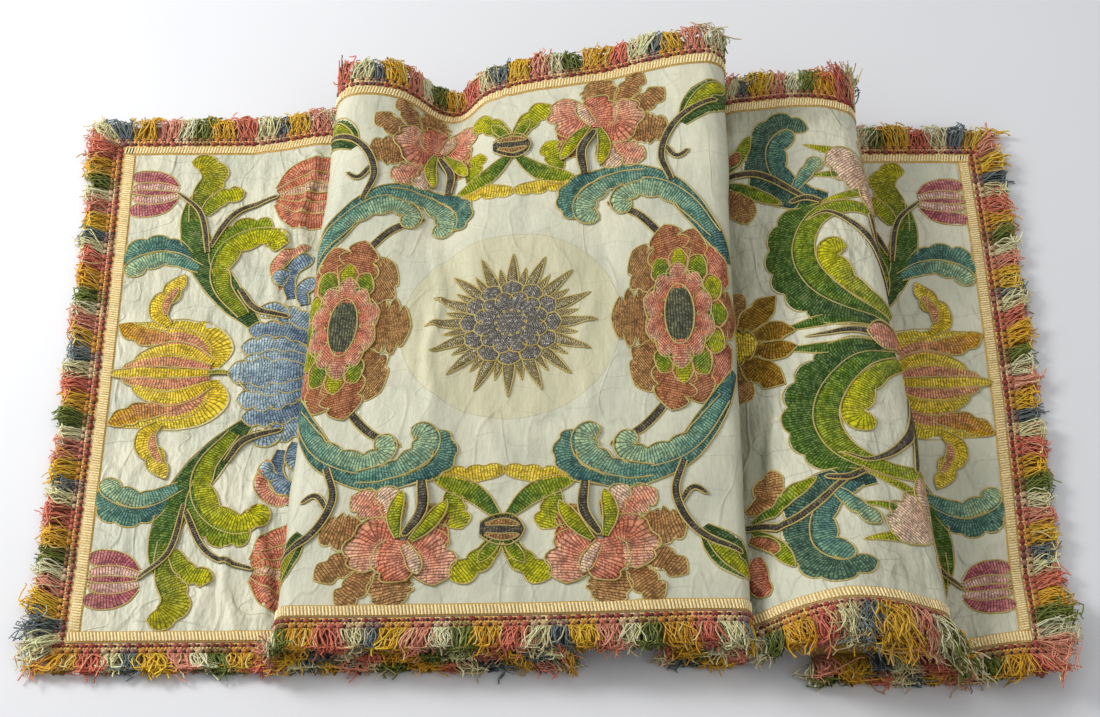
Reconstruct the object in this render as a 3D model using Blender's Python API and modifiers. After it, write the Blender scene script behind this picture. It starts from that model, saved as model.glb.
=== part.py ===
"""Embroidered altar frontal, folded back and forth into loose loops and lying on a table.

Units are metres, +Z is up, +X runs along the frontal's length and +Y away from the viewer.
One long cloth is laid flat at its left end, doubled back twice under the middle panel and
twice more on the right, where its right end comes out flat again. A woven galloon is sewn
on its face along all four edges, and a fringe with a woven heading stands outside them.
"""

import math
from collections import namedtuple

import bmesh
import bpy
import numpy as np
from mathutils import Vector

# Cut sizes
CLOTH_DEPTH = 0.87
CLOTH_THICK = 0.0022
GALLOON_WIDTH = 0.017
GALLOON_THICK = 0.0012
HEADING_WIDTH = 0.019
HEADING_THICK = 0.0026
SKIRT_LENGTH = 0.042
GAP = 0.0003
GALLOON_GAP = 0.0006

# Lengths of cloth between the left border, the turns of folds B, C and E, and the right border
LEFT_CUT = 1.048
RIGHT_CUT = 0.545
END_CUT = 0.479

# Where the two short borders lie on the table, at the front edge, the middle and the back
LEFT_BORDER_X = (-0.622, -0.629, -0.644)
RIGHT_BORDER_X = (0.612, 0.630, 0.631)
FLOOR_HEIGHT = CLOTH_THICK / 2

# Mesh steps along the cloth, across it, and round each fold
LAYER_STEP = 0.027
LOOP_STEPS = 6
DEPTH_STEPS = 12
SIDE_LOCKS = 32
CURVE_STEPS = 8
SETTLE_ROUNDS = 12

# The tightest fold's reach along the cloth
LEAST_REACH = 0.012

# A fold turns to the right or left at turn_x. low and high are the heights of the layers that
# it joins. Each value is given at the front edge, in the middle and at the back edge. Folds
# A, D and F are hidden, and their turn_x is a first guess that settle() moves.
Fold = namedtuple("Fold", "name side turn_x low high")
FOLDS = (
    Fold("A", 1, (-0.05, -0.05, -0.05), (0.0011, 0.0011, 0.0011), (0.034, 0.074, 0.040)),
    Fold("B", -1, (-0.350, -0.332, -0.315), (0.016, 0.034, 0.052), (0.040, 0.084, 0.118)),
    Fold("C", 1, (0.254, 0.252, 0.254), (0.034, 0.078, 0.130), (0.058, 0.118, 0.186)),
    Fold("D", -1, (0.14, 0.14, 0.14), (0.0011, 0.0011, 0.0011), (0.026, 0.040, 0.066)),
    Fold("E", 1, (0.505, 0.478, 0.452), (0.024, 0.028, 0.042), (0.078, 0.090, 0.096)),
    Fold("F", -1, (0.38, 0.38, 0.38), (0.0011, 0.0011, 0.0011), (0.022, 0.026, 0.036)),
)

# Heights inside each layer, at a share of its run from the fold before it to the next
Rise = namedtuple("Rise", "layer share height")
RISES = (
    Rise(0, 0.30, (0.0011, 0.0011, 0.0011)),
    Rise(0, 0.50, (0.0011, 0.0030, 0.0240)),
    Rise(0, 0.90, (0.0011, 0.0011, 0.0011)),
    Rise(1, 0.30, (0.030, 0.066, 0.034)),
    Rise(1, 0.62, (0.022, 0.050, 0.030)),
    Rise(2, 0.12, (0.041, 0.090, 0.108)),
    Rise(2, 0.27, (0.043, 0.094, 0.050)),
    Rise(2, 0.38, (0.045, 0.097, 0.100)),
    Rise(2, 0.52, (0.047, 0.100, 0.126)),
    Rise(2, 0.70, (0.052, 0.107, 0.144)),
    Rise(2, 0.88, (0.058, 0.116, 0.174)),
    Rise(3, 0.50, (0.030, 0.060, 0.098)),
    Rise(4, 0.14, (0.003, 0.014, 0.032)),
    Rise(4, 0.32, (0.024, 0.044, 0.080)),
    Rise(4, 0.50, (0.074, 0.064, 0.092)),
    Rise(4, 0.68, (0.102, 0.080, 0.100)),
    Rise(4, 0.86, (0.098, 0.093, 0.102)),
    Rise(5, 0.50, (0.021, 0.026, 0.038)),
    Rise(6, 0.10, (0.0011, 0.0011, 0.0011)),
    Rise(6, 0.45, (0.0011, 0.0011, 0.0011)),
    Rise(6, 0.75, (0.0011, 0.0011, 0.0011)),
)

# How far each layer lies behind the first one, from the slant of the folds
LAYER_DRIFT = (0.0, 0.008, 0.014, 0.014, 0.012, -0.006, -0.016)

# The front right corner is turned up from the table
CURL_HEIGHT = 0.030
CURL_REACH = 0.120

# Locks of the fringe: thickness at the belly and the tip, share of their pitch that they
# fill there, how far they hang, and how those near the corners splay
LOCK_THICK = 0.0052
TIP_THICK = 0.0040
LOCK_BELLY = 0.42
LOCK_FILL = 0.84
TIP_FILL = 0.66
BEND_ROOM = 1.6
LEAST_PITCH = 0.009
FRONT_DROOP = 0.18
BACK_DROOP = 0.08
MOST_DROOP = 0.020
CORNER_SPLAY = math.radians(38)
SPLAY_LOCKS = 3
END_LEAN = math.radians(14)

# Waves that make the locks' lengths uneven: share of the length, and radians per lock
Wave = namedtuple("Wave", "size rate")
LOCK_WAVES = (Wave(0.06, 1.7), Wave(0.04, 4.1))

COLLECTION = "altar_frontal"


def at_depth(values, share):
    """A value at a share of the way from the front edge to the back edge."""
    front, middle, back = values
    return (
        front * (1 - share) * (1 - 2 * share)
        + middle * 4 * share * (1 - share)
        + back * share * (2 * share - 1)
    )


def smooth(share):
    """0 to 1 with level ends."""
    share = min(1.0, max(0.0, share))
    return share * share * (3 - 2 * share)


def loop_points(fold, turn_x, share, enters_low):
    """Points (x, z) round one fold, in the order in which the cloth runs."""
    low, high = at_depth(fold.low, share), at_depth(fold.high, share)
    radius = (high - low) / 2
    reach = max(radius, LEAST_REACH)
    points = []
    for angle in (-90, -45, 0, 45, 90):
        turn = math.radians(angle)
        x = turn_x - fold.side * reach * (1 - math.cos(turn))
        points.append((x, (low + high) / 2 + radius * math.sin(turn)))
    return points if enters_low else points[::-1]


def stretches(share, turns):
    """Control points of every layer and fold at one depth, as a list of stretches."""
    ends = [(at_depth(LEFT_BORDER_X, share), FLOOR_HEIGHT)]
    found = []
    for number, fold in enumerate(FOLDS):
        loop = loop_points(fold, turns[fold.name], share, enters_low=number < 2)
        found.append([ends[-1], *layer_points(number, ends[-1], loop[0], share), loop[0]])
        found.append(loop)
        ends.append(loop[-1])
    border = (at_depth(RIGHT_BORDER_X, share), FLOOR_HEIGHT)
    found.append([ends[-1], *layer_points(len(FOLDS), ends[-1], border, share), border])
    return found


def layer_points(layer, start, end, share):
    """Points (x, z) inside one layer, from the table of rises."""
    inside = [rise for rise in RISES if rise.layer == layer]
    return [
        (start[0] + (end[0] - start[0]) * rise.share, at_depth(rise.height, share))
        for rise in inside
    ]


def curve_through(points):
    """A dense smooth line through the points (x, z), and the index of each point in it."""
    line = np.array(points)
    padded = np.vstack([2 * line[0] - line[1], line, 2 * line[-1] - line[-2]])
    steps = np.linspace(0, 1, CURVE_STEPS, endpoint=False)[:, None]
    pieces = []
    for before, start, end, after in zip(padded, padded[1:], padded[2:], padded[3:]):
        span = np.linalg.norm(end - start)
        leave = span * (end - before) / (np.linalg.norm(end - before) + 1e-12)
        arrive = span * (after - start) / (np.linalg.norm(after - start) + 1e-12)
        pieces.append(
            start * (1 + 2 * steps) * (1 - steps) ** 2
            + leave * steps * (1 - steps) ** 2
            + end * steps**2 * (3 - 2 * steps)
            - arrive * steps**2 * (1 - steps)
        )
    dense = np.vstack([*pieces, line[-1:]])
    return dense, np.arange(len(line)) * CURVE_STEPS


def section(share, turns):
    """The whole section at one depth: dense line, its running length and the stretch ends."""
    parts = stretches(share, turns)
    points = [parts[0][0]]
    bounds = [0]
    for part in parts:
        points.extend(part[1:])
        bounds.append(len(points) - 1)
    line, index = curve_through(points)
    running = np.concatenate([[0], np.cumsum(np.linalg.norm(np.diff(line, axis=0), axis=1))])
    return line, running, index[bounds]


def turn_length(running, bounds, fold_number):
    """Length of cloth from the left border to the middle of a fold's loop."""
    start, end = bounds[2 * fold_number + 1], bounds[2 * fold_number + 2]
    return (running[start] + running[end]) / 2


def settle(share):
    """Moves the hidden folds until the cloth between the visible ones has its cut length."""
    turns = {fold.name: at_depth(fold.turn_x, share) for fold in FOLDS}
    for _ in range(SETTLE_ROUNDS):
        _, running, bounds = section(share, turns)
        b, c, e = (turn_length(running, bounds, number) for number in (1, 2, 4))
        turns["A"] += (LEFT_CUT - b) / 2
        turns["D"] -= (RIGHT_CUT - (e - c)) / 2
        turns["F"] -= (END_CUT - (running[-1] - e)) / 2
    return turns


def with_margins(count, length):
    """Shares of a length in even steps, with one more step a galloon's width from each end."""
    margin = GALLOON_WIDTH / length
    return np.concatenate([[0], np.linspace(margin, 1 - margin, count + 1), [1]])


def column_shares(running, bounds):
    """Shares of each stretch at which the mesh has columns: layers by length, folds evenly."""
    found = []
    for number in range(len(bounds) - 1):
        length = running[bounds[number + 1]] - running[bounds[number]]
        layer = number % 2 == 0
        count = max(2, round(length / LAYER_STEP)) if layer else LOOP_STEPS
        shares = np.linspace(0, 1, count + 1)
        if number == 0:
            shares = np.insert(shares, 1, GALLOON_WIDTH / length)
        if number == len(bounds) - 2:
            shares = np.insert(shares, -1, 1 - GALLOON_WIDTH / length)
        found.append(shares[1:])
    return found


def drift(column_layers):
    """How far back each column lies, eased from the middle of one layer to the next."""
    return np.interp(column_layers, np.arange(len(LAYER_DRIFT)), LAYER_DRIFT)


def curl(x, y, layer):
    """Lift of the turned-up front right corner, on the last layer only."""
    if layer < len(FOLDS) - 0.5:
        return 0.0
    away = math.hypot(RIGHT_BORDER_X[0] - x, y + CLOTH_DEPTH / 2)
    return CURL_HEIGHT * smooth(1 - away / CURL_REACH)


class Surface:
    """The folded cloth's middle surface as a grid of points with normals and tangents."""

    def __init__(self):
        self.shares = with_margins(DEPTH_STEPS, CLOTH_DEPTH)
        found = [(share, *section(share, settle(share))) for share in self.shares]
        columns = column_shares(*found[len(found) // 2][2:])
        halves = [(number + shares) / 2 for number, shares in enumerate(columns)]
        self.layers = np.concatenate([[0], *halves])
        rows = []
        for share, line, running, bounds in found:
            lengths = running[bounds]
            marks = np.interp(2 * self.layers, np.arange(len(lengths)), lengths)
            x = np.interp(marks, running, line[:, 0])
            z = np.maximum(np.interp(marks, running, line[:, 1]), FLOOR_HEIGHT)
            y = (share - 0.5) * CLOTH_DEPTH + drift(self.layers)
            z = z + [curl(*place) for place in zip(x, y, self.layers)]
            rows.append(np.stack([x, y, z], axis=1))
        self.points = np.array(rows)
        self.along = unit(np.gradient(self.points, axis=1))
        self.back = unit(np.gradient(self.points, axis=0))
        self.normal = unit(np.cross(self.along, self.back))


def unit(vectors):
    """The vectors at length one."""
    return vectors / np.linalg.norm(vectors, axis=-1, keepdims=True)


def finish(name, slot, colour, roughness, metallic=0.0):
    """The material of one slot."""
    material = bpy.data.materials.get(slot) or bpy.data.materials.new(slot)
    material.use_nodes = True
    shader = material.node_tree.nodes["Principled BSDF"]
    shader.inputs["Base Color"].default_value = (*colour, 1)
    shader.inputs["Roughness"].default_value = roughness
    shader.inputs["Metallic"].default_value = metallic
    bpy.data.objects[name].data.materials.append(material)


def add_object(name, mesh):
    """A new object in the frontal's collection."""
    made = bpy.data.objects.new(name, mesh)
    bpy.data.collections[COLLECTION].objects.link(made)
    return made


def sheet(name, rows, thick):
    """A thin solid about a grid of points: an open sheet with Solidify."""
    bm = bmesh.new()
    grid = [[bm.verts.new(point) for point in row] for row in rows]
    for near, far in zip(grid, grid[1:]):
        for a, b, c, d in zip(near, near[1:], far[1:], far):
            bm.faces.new((a, b, c, d))
    mesh = bpy.data.meshes.new(name)
    bm.to_mesh(mesh)
    bm.free()
    mesh.shade_smooth()
    made = add_object(name, mesh)
    shell = made.modifiers.new("thickness", "SOLIDIFY")
    shell.thickness = thick
    shell.offset = 0
    return made


def galloons(surface):
    """Four strips of galloon on the face, the short ones between the long ones."""
    face = surface.points + surface.normal * ((CLOTH_THICK + GALLOON_THICK) / 2 + GALLOON_GAP)
    sheet("galloon_front", face[:2], GALLOON_THICK)
    sheet("galloon_back", face[-2:], GALLOON_THICK)
    inner = face[1:-1].copy()
    inner[0] += surface.back[1] * GAP
    inner[-1] -= surface.back[-2] * GAP
    sheet("galloon_left", inner[:, :2], GALLOON_THICK)
    sheet("galloon_right", inner[:, -2:], GALLOON_THICK)


def droop(height, share, rate):
    """How far a lock has sunk at a share of its length."""
    return share**1.5 * min(rate * height, MOST_DROOP)


def lock_ring(root, axes, size, share, rate):
    """Four corners of a lock's section, at a share of its length from the heading."""
    along, out, normal = axes
    width, thick, length = size
    centre = root + out * length * share
    centre[2] -= droop(root[2], share, rate)
    ring = [
        centre + along * side * width / 2 + normal * face * thick / 2
        for side, face in ((-1, -1), (1, -1), (1, 1), (-1, 1))
    ]
    sunk = min(0.0, *(corner[2] for corner in ring))
    return [corner - Vector((0, 0, sunk)) for corner in ring]


def place_ring(face, ring):
    """Moves the face's corners to the ring's, each to the one that lies the same way."""
    centre = face.calc_center_median()
    middle = sum(ring, Vector()) / len(ring)
    free = list(ring)
    for vert in face.verts:
        best = max(free, key=lambda corner: match(vert.co - centre, corner - middle))
        free.remove(best)
        vert.co = best


def match(arm, other):
    """How nearly two arms point the same way."""
    return arm.normalized().dot(other.normalized())


def grow_lock(bm, face, axes, width, length, rate):
    """Draws one lock out of a face of the heading, in two steps."""
    root = face.calc_center_median()
    for share, fill, thick in ((LOCK_BELLY, LOCK_FILL, LOCK_THICK), (1.0, TIP_FILL, TIP_THICK)):
        made = bmesh.ops.extrude_discrete_faces(bm, faces=[face])
        face = made["faces"][0]
        place_ring(face, lock_ring(root, axes, (width * fill, thick, length), share, rate))


def heading(bm, edge, out, normal):
    """The strip outside an edge of the cloth: its outer faces, and its first and last face."""
    lift = normal * (HEADING_THICK - CLOTH_THICK) / 2
    half = normal * HEADING_THICK / 2
    inner = edge + out * GAP + lift
    outer = edge + out * HEADING_WIDTH + lift
    corners = [inner - half, inner + half, outer + half, outer - half]
    for row in corners:
        row[:, 2] = np.maximum(row[:, 2], 0)
    rings = [[bm.verts.new(corner[step]) for corner in corners] for step in range(len(edge))]
    outer_faces = []
    for near, far in zip(rings, rings[1:]):
        for side in range(4):
            after = (side + 1) % 4
            face = bm.faces.new((near[side], near[after], far[after], far[side]))
            if side == 2:
                outer_faces.append(face)
    return outer_faces, bm.faces.new(rings[0][::-1]), bm.faces.new(rings[-1])


def splay(number, count):
    """How far a lock near either end of a long fringe leans into the corner."""
    to_start = max(0, SPLAY_LOCKS - number) / SPLAY_LOCKS
    to_end = max(0, SPLAY_LOCKS - (count - 1 - number)) / SPLAY_LOCKS
    return CORNER_SPLAY * (to_end - to_start)


def lock_axes(step, out, normal, lean):
    """Directions along the heading, out of it and off its face, leaning by an angle."""
    along = Vector(step).normalized()
    out = Vector(out).normalized()
    normal = Vector(normal)
    normal = (normal - along * normal.dot(along)).normalized()
    return along, out * math.cos(lean) + along * math.sin(lean), normal


def fringe(name, edge, out, normal, rate, corners):
    """A heading strip outside an edge of the cloth, with one lock grown from each step of it.

    edge, out and normal are rows of vectors at the steps of the edge. A fringe that turns
    the corners has its first and last locks splayed, and one more out of each end.
    """
    bm = bmesh.new()
    outer_faces, first, last = heading(bm, edge, out, normal)
    steps = np.diff(edge, axis=0)
    count = len(outer_faces)
    for number, face in enumerate(outer_faces):
        pitch = float(np.linalg.norm(steps[number]))
        if pitch < LEAST_PITCH and number % 2:
            continue
        lean = splay(number, count) if corners else 0.0
        mean_out, mean_normal = out[number : number + 2].sum(0), normal[number : number + 2].sum(0)
        axes = lock_axes(steps[number], mean_out, mean_normal, lean)
        bend = float(np.linalg.norm(normal[number + 1] - normal[number])) / 2
        uneven = 1 + sum(wave.size * math.sin(wave.rate * number) for wave in LOCK_WAVES)
        width = pitch - BEND_ROOM * LOCK_THICK * bend
        grow_lock(bm, face, axes, width, SKIRT_LENGTH * uneven, rate)
    if corners:
        for face, end, way in ((first, 0, -1), (last, -1, 1)):
            axes = lock_axes(-out[end] * way, steps[end] * way, normal[end], -way * END_LEAN)
            grow_lock(bm, face, axes, HEADING_WIDTH, SKIRT_LENGTH, rate)
    bmesh.ops.recalc_face_normals(bm, faces=bm.faces)
    mesh = bpy.data.meshes.new(name)
    bm.to_mesh(mesh)
    bm.free()
    return add_object(name, mesh)


def fringes(surface):
    """The four fringes. The long ones also cover the corners."""
    corner = HEADING_WIDTH
    for name, row, rate in (("fringe_front", 0, FRONT_DROOP), ("fringe_back", -1, BACK_DROOP)):
        edge = surface.points[row]
        along = surface.along[row]
        edge = np.vstack([edge[0] - along[0] * corner, edge, edge[-1] + along[-1] * corner])
        out = surface.back[row] * (1 if row else -1)
        out[:, 2] = 0
        parts = [np.vstack([v[:1], v, v[-1:]]) for v in (unit(out), surface.normal[row])]
        fringe(name, edge, *parts, rate, corners=True)
    steps = np.linspace(0, 1, SIDE_LOCKS + 1)
    for name, column, way in (("fringe_left", 0, -1), ("fringe_right", -1, 1)):
        rows = [surface.points, surface.along * way, surface.normal]
        edge, out, normal = (
            np.stack([np.interp(steps, surface.shares, row[:, column, i]) for i in range(3)], axis=1)
            for row in rows
        )
        fringe(name, edge, unit(out), unit(normal), 0.0, corners=False)


def centre_on_table():
    """Moves everything so that the origin is under the middle of the whole frontal."""
    bpy.context.view_layer.update()
    depsgraph = bpy.context.evaluated_depsgraph_get()
    corners = []
    for made in bpy.data.collections[COLLECTION].objects:
        shown = made.evaluated_get(depsgraph)
        corners.extend(shown.matrix_world @ Vector(corner) for corner in shown.bound_box)
    low = [min(corner[axis] for corner in corners) for axis in range(3)]
    high = [max(corner[axis] for corner in corners) for axis in range(3)]
    shift = Vector((-(low[0] + high[0]) / 2, -(low[1] + high[1]) / 2, 0))
    for made in bpy.data.collections[COLLECTION].objects:
        made.location += shift


def build():
    """Builds every piece of the frontal."""
    for old in list(bpy.data.objects):
        bpy.data.objects.remove(old)
    collection = bpy.data.collections.new(COLLECTION)
    bpy.context.scene.collection.children.link(collection)
    surface = Surface()
    sheet("cloth", surface.points, CLOTH_THICK)
    galloons(surface)
    fringes(surface)
    finish("cloth", "ground", (0.76, 0.75, 0.66), 0.55)
    for side in ("front", "back", "left", "right"):
        finish(f"galloon_{side}", "galloon", (0.62, 0.47, 0.24), 0.5, 0.2)
        finish(f"fringe_{side}", "fringe", (0.55, 0.36, 0.16), 0.8)
    centre_on_table()


build()
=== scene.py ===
import math
from collections import namedtuple

import bpy
import numpy as np
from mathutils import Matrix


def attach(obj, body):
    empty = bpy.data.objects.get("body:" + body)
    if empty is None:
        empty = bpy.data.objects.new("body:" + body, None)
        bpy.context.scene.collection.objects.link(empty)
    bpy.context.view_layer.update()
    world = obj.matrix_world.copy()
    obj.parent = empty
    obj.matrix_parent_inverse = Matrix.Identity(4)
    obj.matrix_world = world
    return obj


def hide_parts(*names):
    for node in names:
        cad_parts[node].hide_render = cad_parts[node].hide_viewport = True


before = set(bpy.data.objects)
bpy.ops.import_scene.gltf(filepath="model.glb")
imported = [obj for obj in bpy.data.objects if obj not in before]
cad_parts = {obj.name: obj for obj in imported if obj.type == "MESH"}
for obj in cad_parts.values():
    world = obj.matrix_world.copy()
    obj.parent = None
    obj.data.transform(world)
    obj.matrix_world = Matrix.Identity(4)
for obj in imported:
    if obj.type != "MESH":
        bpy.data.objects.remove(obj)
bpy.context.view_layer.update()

# The frame's origin lies under the middle of the whole frontal
SHIFT = (0.005975, 0.000549, 0.0)

# Camera and floor
CAMERA_PLACE = (0.006, -1.9745, 2.567)
CAMERA_TILT = math.radians(38)
CAMERA_LENS = 75.68
SENSOR_WIDTH = 36.0
FLOOR_SIZE = 7.0

# Sizes of the cloth and its trimmings, and lengths of cloth between its visible folds
CLOTH_DEPTH = 0.87
CLOTH_THICK = 0.0022
GALLOON_WIDTH = 0.017
HEADING_WIDTH = 0.019
SKIRT_LENGTH = 0.042
LEFT_CUT = 1.048
RIGHT_CUT = 0.545
END_CUT = 0.479

# The folded section: x of its two ends at the front, middle and back, how it is drawn, how far
# back each layer has drifted, and the corner that turns up at the front right
LEFT_BORDER_X = (-0.622, -0.629, -0.644)
RIGHT_BORDER_X = (0.612, 0.630, 0.631)
FLOOR_HEIGHT = CLOTH_THICK / 2
CURVE_STEPS = 8
SETTLE_ROUNDS = 12
LEAST_REACH = 0.012
LAYER_DRIFT = (0.0, 0.008, 0.014, 0.014, 0.012, -0.006, -0.016)
CURL_HEIGHT = 0.030
CURL_REACH = 0.120

# A fold turns to the right or left at turn_x. low and high are the heights of the layers that
# it joins, at the front edge, in the middle and at the back edge.
Fold = namedtuple("Fold", "name side turn_x low high")
FOLDS = (
    Fold("A", 1, (-0.05, -0.05, -0.05), (0.0011, 0.0011, 0.0011), (0.034, 0.074, 0.040)),
    Fold("B", -1, (-0.350, -0.332, -0.315), (0.016, 0.034, 0.052), (0.040, 0.084, 0.118)),
    Fold("C", 1, (0.254, 0.252, 0.254), (0.034, 0.078, 0.130), (0.058, 0.118, 0.186)),
    Fold("D", -1, (0.14, 0.14, 0.14), (0.0011, 0.0011, 0.0011), (0.026, 0.040, 0.066)),
    Fold("E", 1, (0.505, 0.478, 0.452), (0.024, 0.028, 0.042), (0.078, 0.090, 0.096)),
    Fold("F", -1, (0.38, 0.38, 0.38), (0.0011, 0.0011, 0.0011), (0.022, 0.026, 0.036)),
)

# Heights inside each layer, at a share of its run from the fold before it to the next
Rise = namedtuple("Rise", "layer share height")
RISES = (
    Rise(0, 0.30, (0.0011, 0.0011, 0.0011)),
    Rise(0, 0.50, (0.0011, 0.0030, 0.0240)),
    Rise(0, 0.90, (0.0011, 0.0011, 0.0011)),
    Rise(1, 0.30, (0.030, 0.066, 0.034)),
    Rise(1, 0.62, (0.022, 0.050, 0.030)),
    Rise(2, 0.12, (0.041, 0.090, 0.108)),
    Rise(2, 0.27, (0.043, 0.094, 0.050)),
    Rise(2, 0.38, (0.045, 0.097, 0.100)),
    Rise(2, 0.52, (0.047, 0.100, 0.126)),
    Rise(2, 0.70, (0.052, 0.107, 0.144)),
    Rise(2, 0.88, (0.058, 0.116, 0.174)),
    Rise(3, 0.50, (0.030, 0.060, 0.098)),
    Rise(4, 0.14, (0.003, 0.014, 0.032)),
    Rise(4, 0.32, (0.024, 0.044, 0.080)),
    Rise(4, 0.50, (0.074, 0.064, 0.092)),
    Rise(4, 0.68, (0.102, 0.080, 0.100)),
    Rise(4, 0.86, (0.098, 0.093, 0.102)),
    Rise(5, 0.50, (0.021, 0.026, 0.038)),
    Rise(6, 0.10, (0.0011, 0.0011, 0.0011)),
    Rise(6, 0.45, (0.0011, 0.0011, 0.0011)),
    Rise(6, 0.75, (0.0011, 0.0011, 0.0011)),
)

# Fine table of the surface, and the steps of the visible mesh. The left end comes out of its
# fold at LEFT_SHOWN, and the section's hidden stretches have wide steps.
TABLE_ROWS = 141
TABLE_STEP = 0.004
SHEET_ROWS = 140
SHOWN_STEP = 0.0060
HIDDEN_STEP = 0.022
LEFT_SHOWN = -1.00
HIDDEN_STRETCHES = (0, 2, 6, 10, 12)

# Creases in the silk, from one flat place to another: half width, and height or depth.
# u runs along the frontal and v from front to back, both from the middle of the cloth. A crease
# wanders by a share of its width and fades out over a share of its length.
CREASE_WANDER = 0.9
CREASE_TAPER = 0.3
SLACK_MARGIN = 0.03
Crease = namedtuple("Crease", "u0 v0 u1 v1 width height")
CREASES = (
    Crease(-1.095, -0.434, -1.105, -0.210, 0.0060, 0.0085),
    Crease(-1.130, -0.434, -1.155, -0.270, 0.0055, 0.0075),
    Crease(-1.178, -0.434, -1.170, -0.310, 0.0050, 0.0045),
    Crease(-1.255, -0.434, -1.240, -0.350, 0.0050, 0.0040),
    Crease(-1.290, -0.425, -1.285, -0.385, 0.0045, 0.0018),
    Crease(-1.060, -0.434, -1.075, -0.160, 0.0065, 0.0090),
    Crease(-1.098, -0.130, -1.125, -0.260, 0.0052, 0.0070),
    Crease(-1.140, -0.070, -1.150, 0.030, 0.0048, 0.0044),
    Crease(-1.105, 0.110, -1.100, 0.320, 0.0058, 0.0070),
    Crease(-1.075, 0.160, -1.066, 0.432, 0.0060, 0.0075),
    Crease(-1.180, 0.070, -1.215, 0.120, 0.0045, 0.0036),
    Crease(-1.150, 0.310, -1.135, 0.432, 0.0050, 0.0042),
    Crease(-1.300, -0.135, -1.255, -0.140, 0.0040, 0.0018),
    Crease(-1.020, -0.430, -1.035, 0.430, 0.0090, 0.0050),
    Crease(-0.103, -0.180, -0.108, 0.180, 0.0070, 0.0056),
    Crease(-0.122, -0.120, -0.124, 0.090, 0.0060, -0.0024),
    Crease(-0.020, -0.215, -0.024, -0.120, 0.0050, 0.0018),
    Crease(0.098, -0.200, 0.112, 0.100, 0.0080, 0.0022),
    Crease(0.000, 0.380, 0.002, 0.430, 0.0045, 0.0024),
    Crease(-0.180, -0.434, -0.176, -0.360, 0.0055, 0.0034),
    Crease(0.020, -0.434, 0.014, -0.320, 0.0055, 0.0034),
    Crease(0.200, -0.434, 0.196, -0.330, 0.0060, 0.0036),
    Crease(-0.240, 0.410, -0.100, 0.405, 0.0060, 0.0022),
    Crease(0.150, 0.250, 0.190, 0.435, 0.0070, 0.0024),
    Crease(0.600, -0.430, 0.606, -0.100, 0.0110, 0.0075),
    Crease(0.632, -0.420, 0.650, -0.060, 0.0090, -0.0060),
    Crease(0.668, -0.300, 0.664, -0.080, 0.0070, 0.0040),
    Crease(0.585, 0.060, 0.600, 0.430, 0.0080, 0.0040),
    Crease(0.640, 0.290, 0.636, 0.425, 0.0045, 0.0024),
    Crease(0.655, 0.300, 0.652, 0.420, 0.0040, 0.0020),
    Crease(0.700, -0.020, 0.690, 0.020, 0.0060, 0.0024),
    Crease(0.745, -0.330, 0.735, -0.260, 0.0050, 0.0020),
    Crease(0.790, 0.090, 0.700, 0.130, 0.0050, 0.0016),
    Crease(0.780, 0.050, 0.740, 0.180, 0.0060, 0.0018),
    Crease(1.220, -0.160, 1.262, -0.100, 0.0060, 0.0030),
    Crease(1.270, -0.120, 1.310, -0.125, 0.0050, 0.0024),
    Crease(1.290, -0.240, 1.330, -0.255, 0.0050, 0.0024),
    Crease(1.240, 0.120, 1.290, 0.150, 0.0050, 0.0022),
    Crease(1.300, 0.230, 1.310, 0.300, 0.0050, 0.0020),
    Crease(1.195, -0.420, 1.205, -0.300, 0.0060, 0.0026),
)

# Swells: waves along and across the cloth in radians per metre, phase, and height
Swell = namedtuple("Swell", "along back phase height")
BILLOW = 0.0030
SWELLS = (
    Swell(58.0, 9.0, 0.4, 0.45 * BILLOW),
    Swell(91.0, -17.0, 2.1, 0.30 * BILLOW),
    Swell(37.0, 31.0, 4.0, 0.40 * BILLOW),
    Swell(143.0, 24.0, 1.2, 0.16 * BILLOW),
)

# Wear and dirt on the silk, the first two rows painted shade by fold C: half sizes, how much of it
# shows
WearAndShade = namedtuple("WearAndShade", "u v wide deep share")
WEAR_AND_SHADE = (
    # painted shade on the layer beside fold C, towards the front and towards the back
    WearAndShade(0.622, -0.210, 0.045, 0.170, 0.75),
    WearAndShade(0.625, 0.120, 0.036, 0.110, 0.55),
    WearAndShade(0.690, 0.412, 0.130, 0.042, 0.60),
    WearAndShade(0.780, -0.360, 0.050, 0.050, 0.25),
    WearAndShade(-1.060, 0.200, 0.060, 0.160, 0.22),
    WearAndShade(-1.290, 0.180, 0.050, 0.100, 0.18),
    WearAndShade(0.090, 0.060, 0.050, 0.120, 0.16),
    WearAndShade(-0.200, -0.300, 0.060, 0.060, 0.15),
    WearAndShade(1.260, -0.150, 0.070, 0.070, 0.25),
)

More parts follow.
